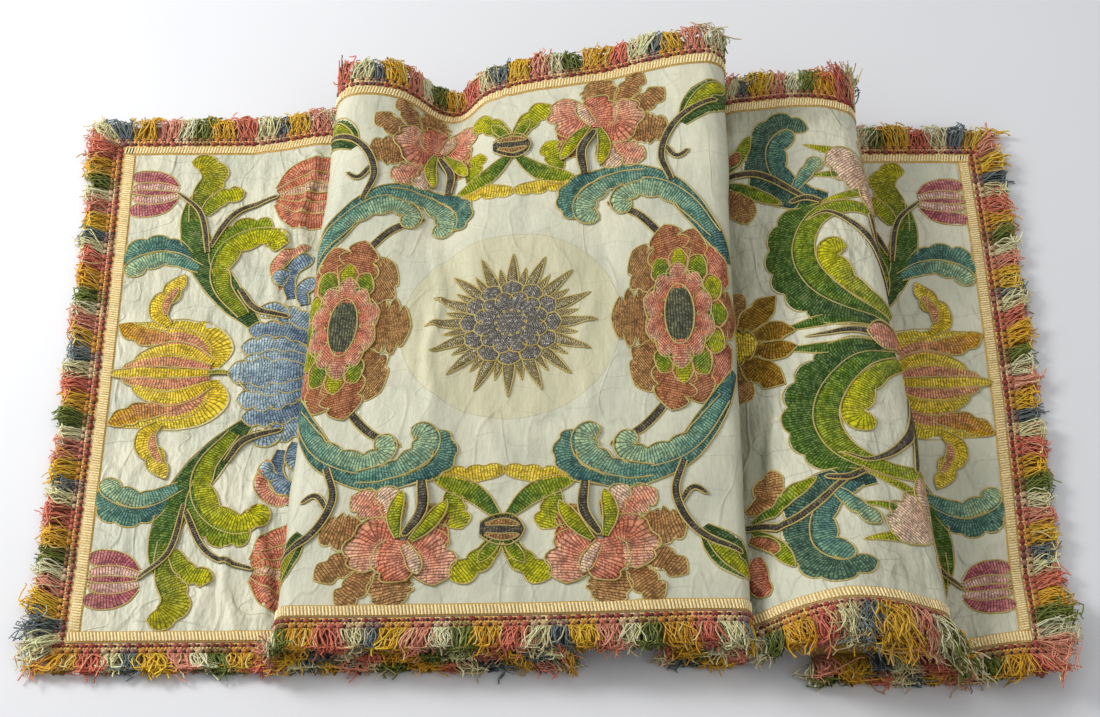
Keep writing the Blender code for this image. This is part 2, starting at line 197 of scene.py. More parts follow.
# Colours of the silks, as (root, tip, middle streak, share of the streak)
Tint = namedtuple("Tint", "root tip streak share")
TINTS = {
    "green": Tint((0.050, 0.125, 0.014), (0.310, 0.350, 0.022), (0.064, 0.140, 0.014), 0.3),
    "deep_green": Tint((0.030, 0.080, 0.018), (0.086, 0.165, 0.018), (0.022, 0.060, 0.014), 0.3),
    "lime": Tint((0.170, 0.220, 0.014), (0.520, 0.480, 0.026), (0.280, 0.310, 0.020), 0.3),
    "olive": Tint((0.090, 0.140, 0.013), (0.420, 0.370, 0.022), (0.190, 0.215, 0.015), 0.3),
    "teal": Tint((0.030, 0.110, 0.110), (0.130, 0.260, 0.190), (0.060, 0.160, 0.145), 0.4),
    "pale_teal": Tint((0.090, 0.230, 0.190), (0.380, 0.480, 0.290), (0.150, 0.300, 0.230), 0.4),
    "deep_teal": Tint((0.024, 0.075, 0.062), (0.075, 0.150, 0.095), (0.040, 0.100, 0.078), 0.4),
    "blue": Tint((0.150, 0.225, 0.330), (0.420, 0.520, 0.560), (0.250, 0.350, 0.460), 0.5),
    "navy": Tint((0.080, 0.125, 0.210), (0.260, 0.350, 0.440), (0.120, 0.180, 0.270), 0.4),
    "purple": Tint((0.420, 0.120, 0.150), (0.540, 0.250, 0.240), (0.330, 0.075, 0.110), 0.5),
    "mauve": Tint((0.700, 0.460, 0.390), (0.600, 0.300, 0.280), (0.760, 0.560, 0.470), 0.5),
    "rose": Tint((0.600, 0.210, 0.140), (0.500, 0.150, 0.100), (0.700, 0.360, 0.260), 0.5),
    "coral": Tint((0.640, 0.290, 0.200), (0.700, 0.400, 0.210), (0.620, 0.240, 0.170), 0.5),
    "pink": Tint((0.640, 0.270, 0.190), (0.740, 0.440, 0.320), (0.600, 0.170, 0.120), 0.5),
    "blush": Tint((0.560, 0.190, 0.130), (0.740, 0.480, 0.340), (0.560, 0.170, 0.120), 0.6),
    "pale_pink": Tint((0.680, 0.440, 0.320), (0.760, 0.590, 0.450), (0.640, 0.340, 0.250), 0.4),
    "brown": Tint((0.340, 0.160, 0.072), (0.430, 0.250, 0.110), (0.270, 0.120, 0.056), 0.3),
    "russet": Tint((0.440, 0.160, 0.085), (0.400, 0.160, 0.080), (0.520, 0.240, 0.150), 0.4),
    "ochre": Tint((0.240, 0.130, 0.012), (0.330, 0.170, 0.018), (0.190, 0.090, 0.010), 0.4),
    "amber": Tint((0.560, 0.260, 0.130), (0.620, 0.360, 0.050), (0.480, 0.220, 0.120), 0.5),
    "yellow": Tint((0.720, 0.540, 0.080), (0.780, 0.620, 0.130), (0.680, 0.420, 0.100), 0.5),
    "flame": Tint((0.660, 0.450, 0.050), (0.660, 0.430, 0.070), (0.600, 0.220, 0.110), 0.7),
    "dark": Tint((0.045, 0.036, 0.028), (0.065, 0.052, 0.036), (0.110, 0.092, 0.062), 0.5),
    "silver": Tint((0.140, 0.125, 0.100), (0.200, 0.182, 0.150), (0.080, 0.072, 0.058), 0.5),
    "gold": Tint((0.160, 0.130, 0.060), (0.260, 0.200, 0.055), (0.400, 0.300, 0.070), 0.5),
}

# Half widths along a blade, at even steps from its root to its tip
PROFILES = {
    "leaf": (0.30, 0.76, 1.00, 0.88, 0.30),
    "scroll": (0.35, 0.80, 1.00, 1.00, 0.84, 0.66, 0.52),
    "hook": (0.50, 0.70, 0.85, 1.00, 1.08, 1.04, 0.86),
    "petal": (0.50, 0.86, 1.00, 0.96, 0.50),
    "spear": (0.80, 1.00, 0.80, 0.46, 0.10),
    "drop": (0.20, 0.60, 0.92, 1.05, 0.96, 0.66),
    "round": (0.45, 0.88, 1.06, 1.10, 0.98, 0.74),
    "sail": (0.30, 0.90, 1.05, 1.00, 0.72, 0.46, 0.34),
    "stem": (0.80, 1.00, 1.00, 0.90, 0.60),
    "bar": (0.35, 0.85, 1.00, 0.95, 0.85, 0.50),
}

# A blade is a worked shape from root to tip: its path of three to six places in a quarter of
# the cloth, its full width, its profile, its lobes on the left and right, its tint, and its
# level among the blades that overlap
Blade = namedtuple("Blade", "path width profile lobes tint level")
BLADE_STEP = 0.0039
BLADE_ACROSS = 7
BLADE_DOME = 0.0010
BLADE_LIFT = 0.0003
LEVEL_LIFT = 0.0006
LOBE_DEPTH = 0.42
LOBE_START = 0.22
LOBE_RAMP = 0.1
TIP_ROUND = 0.45
LEAST_TIP = 0.0004
DOME_RAMP = 0.08
STREAK_REACH = 0.42
UNEVEN_SHADE = 0.16
SLANTED_SHADE = 0.10
STITCH_ROW = 0.0038
CORD_WIDTH = 0.0024
CORD_HEIGHT = 0.0014
CORD_TINT = (0.60, 0.45, 0.10)
CORD_LEAST_STEP = 4e-4
CORD_PROFILE = ((-1, 0.0), (-0.5, 0.8), (0.5, 0.8), (1, 0.0))


def both_sides(*blades):
    """Each blade, and after it its mirror image about the cloth's middle line."""
    for blade in blades:
        yield blade
        path = tuple((u, -v) for u, v in blade.path)
        yield blade._replace(path=path, lobes=blade.lobes[::-1])


END_MOTIFS = (
    # tulips at the corners
    Blade(((1.262, 0.350), (1.285, 0.368), (1.331, 0.372)), 0.030, "petal", (0, 1), "purple", 0),
    Blade(((1.262, 0.330), (1.285, 0.312), (1.331, 0.304)), 0.030, "petal", (1, 0), "purple", 0),
    Blade(((1.258, 0.346), (1.290, 0.352), (1.324, 0.350)), 0.020, "petal", (0, 0), "mauve", 1),
    Blade(((1.258, 0.334), (1.290, 0.328), (1.324, 0.328)), 0.020, "petal", (0, 0), "mauve", 1),
    Blade(((1.260, 0.340), (1.290, 0.340), (1.328, 0.340)), 0.012, "leaf", (0, 0), "purple", 2),
    Blade(((1.208, 0.222), (1.224, 0.300), (1.260, 0.340)), 0.0075, "stem", (0, 0), "dark", 4),
    # tall scroll leaf
    Blade(
        ((1.128, 0.082), (1.178, 0.150), (1.218, 0.222), (1.234, 0.290), (1.224, 0.345)),
        0.050, "scroll", (0, 0), "deep_green", 0,
    ),
    Blade(
        ((1.230, 0.280), (1.224, 0.335), (1.208, 0.372), (1.222, 0.398), (1.244, 0.402)),
        0.037, "hook", (4, 1), "olive", 1,
    ),
    Blade(((1.218, 0.296), (1.198, 0.328), (1.164, 0.342)), 0.030, "hook", (2, 3), "lime", 2),
    Blade(
        ((1.148, 0.104), (1.184, 0.164), (1.178, 0.220), (1.144, 0.250), (1.110, 0.244),
         (1.112, 0.222)), 0.034, "hook", (4, 0), "lime", 2,
    ),
    Blade(
        ((1.188, 0.184), (1.188, 0.240), (1.154, 0.270), (1.116, 0.266)),
        0.040, "hook", (0, 4), "green", 1,
    ),
    Blade(((1.206, 0.232), (1.172, 0.300), (1.112, 0.326)), 0.0085, "stem", (0, 0), "dark", 4),
    Blade(((1.156, 0.152), (1.132, 0.116), (1.082, 0.098)), 0.0095, "stem", (0, 0), "dark", 4),
    # curled leaf beside the border
    Blade(((1.226, 0.200), (1.262, 0.240), (1.306, 0.232), (1.322, 0.196)), 0.032, "hook", (4, 0),
          "teal", 0),
    Blade(((1.216, 0.192), (1.262, 0.212), (1.302, 0.200), (1.318, 0.178)), 0.030, "hook", (0, 3),
          "pale_teal", 1),
    # tulip at the middle of the border, with its curled petals
    Blade(((1.186, 0.010), (1.190, 0.048), (1.228, 0.064), (1.322, 0.084)), 0.066, "sail",
          (0, 2), "yellow", 0),
    Blade(((1.196, 0.022), (1.220, 0.052), (1.272, 0.060)), 0.044, "round", (0, 0), "coral", 1),
    Blade(((1.244, 0.064), (1.284, 0.068), (1.324, 0.088)), 0.038, "leaf", (3, 2), "amber", 2),
    Blade(
        ((1.252, 0.086), (1.270, 0.112), (1.254, 0.146), (1.236, 0.180)),
        0.035, "leaf", (3, 2), "yellow", 3,
    ),
    Blade(((1.258, 0.104), (1.258, 0.126), (1.244, 0.156)), 0.014, "leaf", (0, 0), "coral", 4),
    # tulip inside the fold
    Blade(((1.112, 0.314), (1.080, 0.276), (0.996, 0.284)), 0.034, "petal", (0, 0), "rose", 0),
    Blade(((1.112, 0.338), (1.080, 0.376), (0.996, 0.368)), 0.034, "petal", (0, 0), "rose", 0),
    Blade(((1.114, 0.320), (1.072, 0.300), (0.990, 0.306)), 0.026, "petal", (0, 0), "blush", 1),
    Blade(((1.114, 0.332), (1.072, 0.352), (0.990, 0.346)), 0.026, "petal", (0, 0), "blush", 1),
    Blade(((1.112, 0.324), (1.070, 0.318), (0.996, 0.318)), 0.018, "petal", (0, 0), "rose", 2),
    Blade(((1.112, 0.328), (1.070, 0.336), (0.996, 0.334)), 0.018, "petal", (0, 0), "pale_pink", 2),
    # leaves about the acanthus
    Blade(((1.098, 0.150), (1.104, 0.200), (1.060, 0.226)), 0.022, "leaf", (0, 0), "pink", 0),
    Blade(((1.082, 0.132), (1.086, 0.184), (1.054, 0.206)), 0.026, "hook", (1, 2), "navy", 1),
    Blade(((1.086, 0.178), (1.100, 0.172), (1.096, 0.154)), 0.020, "round", (1, 1), "blue", 2),
    Blade(((1.062, 0.120), (1.066, 0.146), (1.046, 0.166)), 0.024, "hook", (1, 1), "blue", 2),
    Blade(((1.088, 0.086), (1.098, 0.112), (1.128, 0.106)), 0.026, "hook", (1, 1), "blue", 1),
)

# Worked on the middle line of the frontal's ends, so mirrored from left to right alone
END_AXIS = (
    Blade(((1.188, 0.0), (1.256, 0.0), (1.328, 0.0)), 0.021, "petal", (0, 0), "yellow", 5),
    *both_sides(
        Blade(((1.188, 0.008), (1.246, 0.020), (1.312, 0.008)), 0.026, "petal", (0, 0), "coral", 4),
        Blade(((1.186, 0.016), (1.236, 0.040), (1.296, 0.020)), 0.034, "petal", (0, 0),
              "yellow", 3),
    ),
    Blade(((1.192, 0.0), (1.176, 0.002), (1.160, 0.0)), 0.006, "stem", (0, 0), "olive", 5),
    Blade(((1.040, 0.0), (1.104, 0.0), (1.164, 0.0)), 0.050, "drop", (3, 3), "blue", 4),
    *both_sides(
        Blade(((1.034, 0.018), (1.100, 0.022), (1.146, 0.014)), 0.036, "drop", (3, 2), "blue", 3),
        Blade(((1.034, 0.028), (1.098, 0.044), (1.148, 0.046)), 0.042, "drop", (4, 2), "blue", 2),
        Blade(((1.030, 0.046), (1.084, 0.070), (1.140, 0.078)), 0.038, "drop", (4, 2), "navy", 1),
        Blade(((1.026, 0.056), (1.066, 0.092), (1.112, 0.112)), 0.038, "drop", (4, 2), "blue", 0),
    ),
)

PANEL_MOTIFS = (
    # scroll leaf and its overlay between the rosette and the ends
    Blade(
        ((0.838, 0.022), (0.748, 0.048), (0.700, 0.118), (0.708, 0.194), (0.764, 0.240)),
        0.060, "scroll", (7, 0), "deep_green", 0,
    ),
    Blade(
        ((0.838, 0.030), (0.768, 0.066), (0.730, 0.134), (0.748, 0.200), (0.800, 0.228),
         (0.862, 0.222)), 0.034, "scroll", (0, 0), "green", 1,
    ),
    Blade(
        ((0.846, 0.040), (0.806, 0.070), (0.776, 0.112), (0.768, 0.148), (0.792, 0.152)),
        0.036, "hook", (0, 3), "lime", 2,
    ),
    Blade(((0.848, 0.016), (0.760, 0.024), (0.690, 0.018)), 0.020, "leaf", (0, 0), "deep_green", 0),
    Blade(((0.862, 0.092), (0.832, 0.170), (0.776, 0.216), (0.738, 0.204)), 0.015, "spear",
          (0, 0), "dark", 3),
    Blade(((0.858, 0.120), (0.846, 0.170), (0.836, 0.224)), 0.010, "stem", (0, 0), "dark", 3),
    Blade(((0.764, 0.236), (0.742, 0.246), (0.716, 0.240)), 0.009, "stem", (0, 0), "dark", 4),
    # rounded leaf
    Blade(
        ((0.776, 0.244), (0.702, 0.262), (0.676, 0.326), (0.704, 0.388), (0.760, 0.376)),
        0.056, "scroll", (7, 0), "deep_teal", 0,
    ),
    Blade(
        ((0.756, 0.252), (0.714, 0.288), (0.706, 0.340), (0.734, 0.372)),
        0.032, "hook", (0, 3), "teal", 1,
    ),
    Blade(((0.728, 0.266), (0.752, 0.296), (0.772, 0.318)), 0.024, "hook", (2, 2), "pale_teal", 2),
    # branch with small buds
    Blade(((0.606, 0.292), (0.670, 0.300), (0.744, 0.246)), 0.011, "stem", (0, 0), "dark", 3),
    Blade(((0.616, 0.300), (0.642, 0.330), (0.664, 0.372)), 0.022, "leaf", (1, 0), "green", 2),
    Blade(((0.610, 0.312), (0.630, 0.322), (0.648, 0.342)), 0.018, "round", (0, 1), "russet", 3),
    Blade(((0.616, 0.286), (0.650, 0.272), (0.706, 0.238)), 0.022, "leaf", (0, 1), "green", 2),
    Blade(((0.610, 0.270), (0.636, 0.256), (0.650, 0.212)), 0.042, "drop", (0, 1), "brown", 1),
    Blade(((0.616, 0.340), (0.614, 0.380), (0.626, 0.400)), 0.026, "round", (1, 0), "rose", 1),
    # pink flower with pointed leaves
    Blade(((0.842, 0.226), (0.842, 0.262), (0.862, 0.300)), 0.034, "leaf", (0, 1), "pale_pink", 2),
    Blade(((0.866, 0.262), (0.828, 0.290), (0.790, 0.338)), 0.064, "round", (3, 0), "pale_pink", 1),
    Blade(((0.876, 0.290), (0.864, 0.344), (0.876, 0.402)), 0.046, "round", (3, 1), "pink", 1),
    Blade(((0.888, 0.262), (0.892, 0.320), (0.902, 0.376)), 0.034, "leaf", (0, 2), "pale_pink", 3),
    Blade(((0.834, 0.262), (0.806, 0.250), (0.764, 0.236)), 0.014, "spear", (0, 0), "lime", 0),
    Blade(((0.828, 0.300), (0.798, 0.290), (0.752, 0.286)), 0.017, "spear", (0, 0), "green", 0),
    Blade(((0.816, 0.330), (0.790, 0.334), (0.748, 0.344)), 0.017, "spear", (0, 0), "lime", 0),
)

PANEL_AXIS = (
    Blade(((0.856, 0.0), (0.830, 0.0), (0.800, 0.0)), 0.044, "round", (1, 1), "pink", 4),
    Blade(((0.850, 0.0), (0.780, 0.001), (0.716, 0.0)), 0.013, "spear", (0, 0), "dark", 2),
    *both_sides(
        Blade(((0.632, 0.0), (0.664, 0.016), (0.704, 0.014)), 0.036, "leaf", (1, 1), "ochre", 2),
        Blade(((0.626, 0.006), (0.646, 0.044), (0.682, 0.078)), 0.044, "leaf", (2, 1), "ochre", 1),
        Blade(((0.612, 0.010), (0.614, 0.060), (0.634, 0.090)), 0.040, "round", (2, 1), "brown", 0),
    ),
    Blade(((0.600, 0.0), (0.626, 0.0), (0.650, 0.0)), 0.060, "round", (2, 2), "yellow", 3),
)

MIDDLE_MOTIFS = (
    # acanthus scroll round the middle
    Blade(
        ((0.304, 0.086), (0.264, 0.160), (0.222, 0.216), (0.160, 0.246), (0.100, 0.240)),
        0.036, "scroll", (0, 0), "teal", 1,
    ),
    Blade(
        ((0.286, 0.128), (0.236, 0.192), (0.182, 0.214), (0.154, 0.198), (0.166, 0.176)),
        0.031, "hook", (5, 0), "pale_teal", 2,
    ),
    Blade(
        ((0.190, 0.236), (0.142, 0.230), (0.108, 0.206), (0.102, 0.180), (0.122, 0.168)),
        0.033, "hook", (4, 1), "pale_teal", 3,
    ),
    Blade(
        ((0.124, 0.248), (0.088, 0.232), (0.076, 0.204), (0.090, 0.172)),
        0.030, "hook", (0, 4), "teal", 2,
    ),
    Blade(((0.216, 0.124), (0.180, 0.168), (0.134, 0.196)), 0.012, "stem", (0, 0), "dark", 0),
    # branch and leaf at the side
    Blade(((0.228, 0.222), (0.216, 0.270), (0.240, 0.322), (0.296, 0.356)), 0.010, "stem",
          (0, 0), "dark", 3),
    Blade(((0.222, 0.282), (0.238, 0.262), (0.256, 0.272)), 0.0075, "stem", (0, 0), "dark", 2),
    Blade(((0.248, 0.318), (0.276, 0.352), (0.322, 0.384)), 0.052, "leaf", (0, 0), "deep_green", 0),
    Blade(((0.252, 0.330), (0.280, 0.362), (0.312, 0.388)), 0.024, "leaf", (0, 2), "lime", 1),
    # peony
    Blade(((0.172, 0.316), (0.200, 0.316), (0.228, 0.308)), 0.052, "round", (2, 3), "brown", 0),
    Blade(((0.170, 0.352), (0.198, 0.364), (0.226, 0.384)), 0.038, "petal", (2, 2), "brown", 0),
    Blade(((0.160, 0.372), (0.176, 0.396), (0.196, 0.420)), 0.038, "petal", (2, 2), "brown", 0),
    Blade(((0.132, 0.372), (0.132, 0.398), (0.126, 0.424)), 0.054, "round", (3, 2), "brown", 0),
    Blade(((0.098, 0.310), (0.082, 0.300), (0.064, 0.306)), 0.038, "round", (2, 1), "brown", 0),
    Blade(((0.138, 0.312), (0.162, 0.282), (0.192, 0.264)), 0.042, "round", (3, 2), "pink", 1),
    Blade(((0.134, 0.310), (0.138, 0.280), (0.156, 0.256)), 0.032, "round", (2, 2), "pale_pink", 2),
    Blade(((0.110, 0.324), (0.090, 0.326), (0.066, 0.336)), 0.044, "round", (2, 2), "rose", 1),
    Blade(((0.116, 0.328), (0.088, 0.346), (0.080, 0.394)), 0.056, "round", (3, 2), "pink", 2),
    Blade(((0.126, 0.328), (0.160, 0.328), (0.166, 0.376)), 0.056, "round", (2, 3), "blush", 3),
    Blade(((0.128, 0.332), (0.130, 0.360), (0.114, 0.388)), 0.054, "round", (3, 2), "rose", 4),
    Blade(((0.120, 0.338), (0.108, 0.358), (0.100, 0.380)), 0.020, "petal", (1, 1), "pale_pink", 5),
    Blade(((0.103, 0.250), (0.101, 0.292), (0.122, 0.328)), 0.013, "stem", (0, 0), "dark", 7),
    Blade(((0.128, 0.330), (0.134, 0.296), (0.126, 0.262)), 0.020, "leaf", (0, 0), "lime", 6),
    Blade(((0.112, 0.334), (0.092, 0.312), (0.070, 0.278)), 0.020, "leaf", (0, 0), "lime", 6),
    # leaf knot on the middle line
    Blade(((0.004, 0.298), (0.040, 0.262), (0.092, 0.243)), 0.029, "leaf", (0, 0), "green", 1),
    Blade(((0.062, 0.258), (0.062, 0.284), (0.050, 0.316)), 0.034, "hook", (2, 2), "lime", 0),
    Blade(((0.006, 0.330), (0.024, 0.358), (0.060, 0.386)), 0.034, "hook", (2, 2), "lime", 1),
    Blade(((0.002, 0.326), (0.014, 0.344), (0.028, 0.364)), 0.016, "leaf", (0, 0), "green", 2),
    Blade(((0.094, 0.240), (0.048, 0.236), (-0.002, 0.228)), 0.027, "bar", (3, 0), "yellow", 0),
)

MIDDLE_AXIS = (
    Blade(((-0.028, 0.316), (0.0, 0.316), (0.028, 0.316)), 0.042, "round", (0, 0), "dark", 4),
    Blade(((-0.022, 0.324), (0.0, 0.328), (0.022, 0.324)), 0.010, "leaf", (0, 0), "brown", 5),
    Blade(((-0.022, 0.310), (0.0, 0.306), (0.022, 0.310)), 0.010, "leaf", (0, 0), "brown", 5),
)

# A ring of petals: their number, radii, width, profile, lobes, tint and level, the share of a
# step that it is turned by, and how uneven it is. A rosette is taller than it is wide.
Ring = namedtuple("Ring", "count inner outer width profile lobes tint level turn uneven")
ROSETTE_PLACE = (0.231, 0.0)
ROSETTE_STRETCH = (0.60, 1.0)
ROSETTE_RINGS = (Ring(10, 0.036, 0.081, 0.050, "round", (1, 1), "blush", 4, 0.5, 0.06),)

# Outer petals and leaves of a rosette, each turned by so many degrees from the way to the end
Petal = namedtuple("Petal", "turn inner outer width lobes tint level")
ROSETTE_PETALS = (
    Petal(180, 0.050, 0.156, 0.088, (3, 3), "brown", 1),
    Petal(134, 0.050, 0.150, 0.088, (3, 3), "brown", 0),
    Petal(226, 0.050, 0.150, 0.088, (3, 3), "brown", 0),
    Petal(0, 0.050, 0.134, 0.086, (2, 2), "russet", 1),
    Petal(42, 0.050, 0.142, 0.098, (2, 2), "rose", 0),
    Petal(318, 0.050, 0.142, 0.098, (2, 2), "rose", 0),
    Petal(100, 0.060, 0.150, 0.096, (2, 3), "russet", 2),
    Petal(72, 0.060, 0.144, 0.080, (1, 2), "russet", 1),
    Petal(260, 0.060, 0.150, 0.096, (3, 2), "russet", 2),
    Petal(288, 0.060, 0.144, 0.080, (2, 1), "russet", 1),
    Petal(118, 0.056, 0.102, 0.044, (1, 1), "green", 3),
    Petal(88, 0.056, 0.108, 0.044, (1, 1), "lime", 3),
    Petal(58, 0.056, 0.110, 0.044, (1, 1), "green", 3),
    Petal(28, 0.056, 0.110, 0.040, (1, 1), "lime", 3),
    Petal(0, 0.056, 0.108, 0.040, (1, 1), "green", 3),
    Petal(332, 0.056, 0.110, 0.040, (1, 1), "lime", 3),
    Petal(302, 0.056, 0.110, 0.044, (1, 1), "green", 3),
    Petal(272, 0.056, 0.108, 0.044, (1, 1), "lime", 3),
    Petal(242, 0.056, 0.102, 0.044, (1, 1), "green", 3),
)

# A domed disc of close stitches: its radii, how high it starts, its dome and its tint
Disc = namedtuple("Disc", "radii lift dome tint")
ROSETTE_MESH = Disc((0.01974, 0.047), 0.0044, 0.0012, (0.085, 0.088, 0.052))
BOSS_CENTRE = Disc((0.022, 0.022), 0.0030, 0.0030, TINTS["silver"].root)

# Round ornament in the middle: rings of metal-thread petals, and pointed rays about them
BOSS_RINGS = (
    Ring(12, 0.046, 0.070, 0.030, "round", (0, 0), "silver", 2, 0.0, 0.0),
    Ring(12, 0.018, 0.052, 0.024, "round", (0, 0), "silver", 3, 0.5, 0.0),
)
BOSS_RAYS = (
    Ring(16, 0.058, 0.118, 0.017, "spear", (0, 0), "gold", 1, 0.0, 0.0),
    Ring(16, 0.060, 0.094, 0.012, "spear", (0, 0), "gold", 0, 0.5, 0.0),
)
MEDALLION_RADIUS = 0.152

# Blocks of colour round the fringe, and the length of each along the edge
Block = namedtuple("Block", "colour length")
BLOCKS = (
    Block((0.760, 0.390, 0.016), 0.036),
    Block((0.720, 0.190, 0.110), 0.030),
    Block((0.880, 0.740, 0.400), 0.026),
    Block((0.150, 0.190, 0.190), 0.020),
    Block((0.820, 0.450, 0.020), 0.034),
    Block((0.800, 0.300, 0.190), 0.028),
    Block((0.900, 0.770, 0.450), 0.022),
    Block((0.150, 0.190, 0.020), 0.026),
)

# Places where the fringe bunches up in longer tufts, and the number of threads on top of them
Bunch = namedtuple("Bunch", "name along reach share more lift")
BUNCHES = (
    Bunch("front", 0.82, 0.070, 0.34, 360, 0.022),
    Bunch("front", 0.745, 0.040, 0.30, 130, 0.014),
    Bunch("front", -0.32, 0.030, 0.15, 60, 0.008),
    Bunch("back", 0.86, 0.045, 0.30, 120, 0.016),
    Bunch("back", 0.28, 0.035, 0.15, 0, 0.0),
    Bunch("left", 0.43, 0.030, 0.05, 50, 0.006),
    Bunch("left", -0.42, 0.040, 0.10, 60, 0.006),
    Bunch("right", -0.42, 0.050, 0.10, 90, 0.008),
)
THREAD_PITCH = 0.00084
THREAD_RADIUS = 0.00098
THREAD_STEPS = 8
# Painted shade along each thread: darker at its root, lighter at its tip
THREAD_SHADES = (0.74, 1.06)
TOP_HEIGHT = 0.2005
TRIM_FLOOR = 0.0003
KNOT_FLOOR = 0.0004

# Each edge: where its blocks of colour start, how high its threads rise, and how fast its
# fringe sinks to the table
Edge = namedtuple("Edge", "offset rise sink")
EDGES = {
    "front": Edge(0.03, 0.24, 0.34),
    "back": Edge(0.11, 0.18, 0.04),
    "left": Edge(0.07, 0.22, 0.1),
    "right": Edge(0.16, 0.22, 0.1),
}
LONG_EDGES = ("front", "back")
SINK_LIMIT = 0.034

# Threads: lean and bend are shares of a thread's length, and LENGTH_LIMITS of the skirt's
TUFT_SWING = 0.30
TUFT_GATHER = 0.45
LEAN_SPREAD = 0.17
CORNER_LEAN = 0.80
CORNER_REACH = 0.045
LENGTH_SPREAD = 0.09
LENGTH_LIMITS = (0.55, 1.22)
BUNCH_SPREAD = 0.6
BOW_SPREAD = 0.16
CRIMP = 0.070
LOOPED_SHARE = 0.85
LOOP_REACH = 1.30
LOOP_RETURN = 0.62
LOOP_WIDTH = 0.30
PLAIN_REACH = 0.92
LOW_ROOT = 0.014
STRAY_SHARE = 0.10
STRAY_COLOUR = np.array([0.48, 0.38, 0.18])
BRIGHTEST = 0.92
UNDER_STEP = 0.0024
# Painted shade of the lower skirt, as a share of the block colour
UNDER_SHADE = 0.34

# Knots of the heading: rows as (distance from the cloth, share of red), and sizes along,
# across and up
KNOT_PITCH = 0.0115
KNOT_ROWS = ((0.0050, 0.96), (0.0135, 0.60))
KNOT_SIZE = (0.0050, 0.0042, 0.0030)
GAP_SIZE = (0.0026, 0.0030, 0.0016)
CHAIN_SIZE = (0.0018, 0.0019, 0.0020)
CHAIN_AWAY = 0.0092
KNOT_RED = np.array([0.260, 0.020, 0.016])
GAP_DARK = np.array([0.034, 0.009, 0.005])
CHAIN_PALE = np.array([0.34, 0.27, 0.12])
HEADING_BASE = np.array([0.60, 0.40, 0.130])
HEADING_SHARE = 0.40
HEADING_DOME = 0.0013
HEADING_STEP = 0.004

# Ribbon and rungs of the galloon, the ribbon's profile as shares of its width
RIBBON_SHARES = (0, 0.15, 0.5, 0.85, 1)
RIBBON_STEP = 0.006
RIBBON_GOLD = np.array([0.560, 0.340, 0.070])
RIBBON_LIFT = 0.0002
RIBBON_DOME = 0.0012
RIBBON_MARGIN = 0.0006
RUNG_PITCH = 0.0042
RUNG_SHARE = 0.60
RUNG_INSET = 0.0022
RUNG_SLANT = 0.0012
RUNG_LIFT = 0.0014
RUNG_HEIGHT = 0.0009
RUNG_COLOUR = np.array([1.0, 0.86, 0.50])

HALF_DEPTH = CLOTH_DEPTH / 2
rng = np.random.default_rng(1723)


# ---- The folded surface

def at_depth(values, share):
    """A value at a share of the way from the front edge to the back edge."""
    front, middle, back = values
    return (
        front * (1 - share) * (1 - 2 * share)
        + middle * 4 * share * (1 - share)
        + back * share * (2 * share - 1)
    )


def loop_points(fold, turn_x, share, enters_low):
    """Points (x, z) round one fold, in the order in which the cloth runs."""
    low, high = at_depth(fold.low, share), at_depth(fold.high, share)
    radius = (high - low) / 2
    reach = max(radius, LEAST_REACH)
    points = []
    for angle in (-90, -45, 0, 45, 90):
        turn = math.radians(angle)
        x = turn_x - fold.side * reach * (1 - math.cos(turn))
        points.append((x, (low + high) / 2 + radius * math.sin(turn)))
    return points if enters_low else points[::-1]


def layer_points(layer, start, end, share):
    """Points (x, z) inside one layer, from the table of rises."""
    inside = [rise for rise in RISES if rise.layer == layer]
    return [
        (start[0] + (end[0] - start[0]) * rise.share, at_depth(rise.height, share))
        for rise in inside
    ]


def stretches(share, turns):
    """Control points of every layer and fold at one depth, as a list of stretches."""
    ends = [(at_depth(LEFT_BORDER_X, share), FLOOR_HEIGHT)]
    found = []
    for number, fold in enumerate(FOLDS):
        loop = loop_points(fold, turns[fold.name], share, enters_low=number < 2)
        found.append([ends[-1], *layer_points(number, ends[-1], loop[0], share), loop[0]])
        found.append(loop)
        ends.append(loop[-1])
    border = (at_depth(RIGHT_BORDER_X, share), FLOOR_HEIGHT)
    found.append([ends[-1], *layer_points(len(FOLDS), ends[-1], border, share), border])
    return found


def curve_through(points):
    """A dense smooth line through the points (x, z), and the index of each point in it."""
    line = np.array(points)
    padded = np.vstack([2 * line[0] - line[1], line, 2 * line[-1] - line[-2]])
    steps = np.linspace(0, 1, CURVE_STEPS, endpoint=False)[:, None]
    pieces = []
    for before, start, end, after in zip(padded, padded[1:], padded[2:], padded[3:]):
        span = np.linalg.norm(end - start)
        leave = span * (end - before) / (np.linalg.norm(end - before) + 1e-12)
        arrive = span * (after - start) / (np.linalg.norm(after - start) + 1e-12)
        pieces.append(
            start * (1 + 2 * steps) * (1 - steps) ** 2
            + leave * steps * (1 - steps) ** 2
            + end * steps**2 * (3 - 2 * steps)
            - arrive * steps**2 * (1 - steps)
        )
    dense = np.vstack([*pieces, line[-1:]])
    return dense, np.arange(len(line)) * CURVE_STEPS


def running_length(points):
    """Length along a line at each of its points."""
    return np.concatenate([[0], np.cumsum(np.linalg.norm(np.diff(points, axis=0), axis=1))])


def section(share, turns):
    """The whole section at one depth: dense line, its running length and the stretch ends."""
    parts = stretches(share, turns)
    points = [parts[0][0]]
    bounds = [0]
    for part in parts:
        points.extend(part[1:])
        bounds.append(len(points) - 1)
    line, index = curve_through(points)
    return line, running_length(line), index[bounds]


def turn_length(running, bounds, fold_number):
    """Length of cloth from the left border to the middle of a fold's loop."""
    start, end = bounds[2 * fold_number + 1], bounds[2 * fold_number + 2]
    return (running[start] + running[end]) / 2


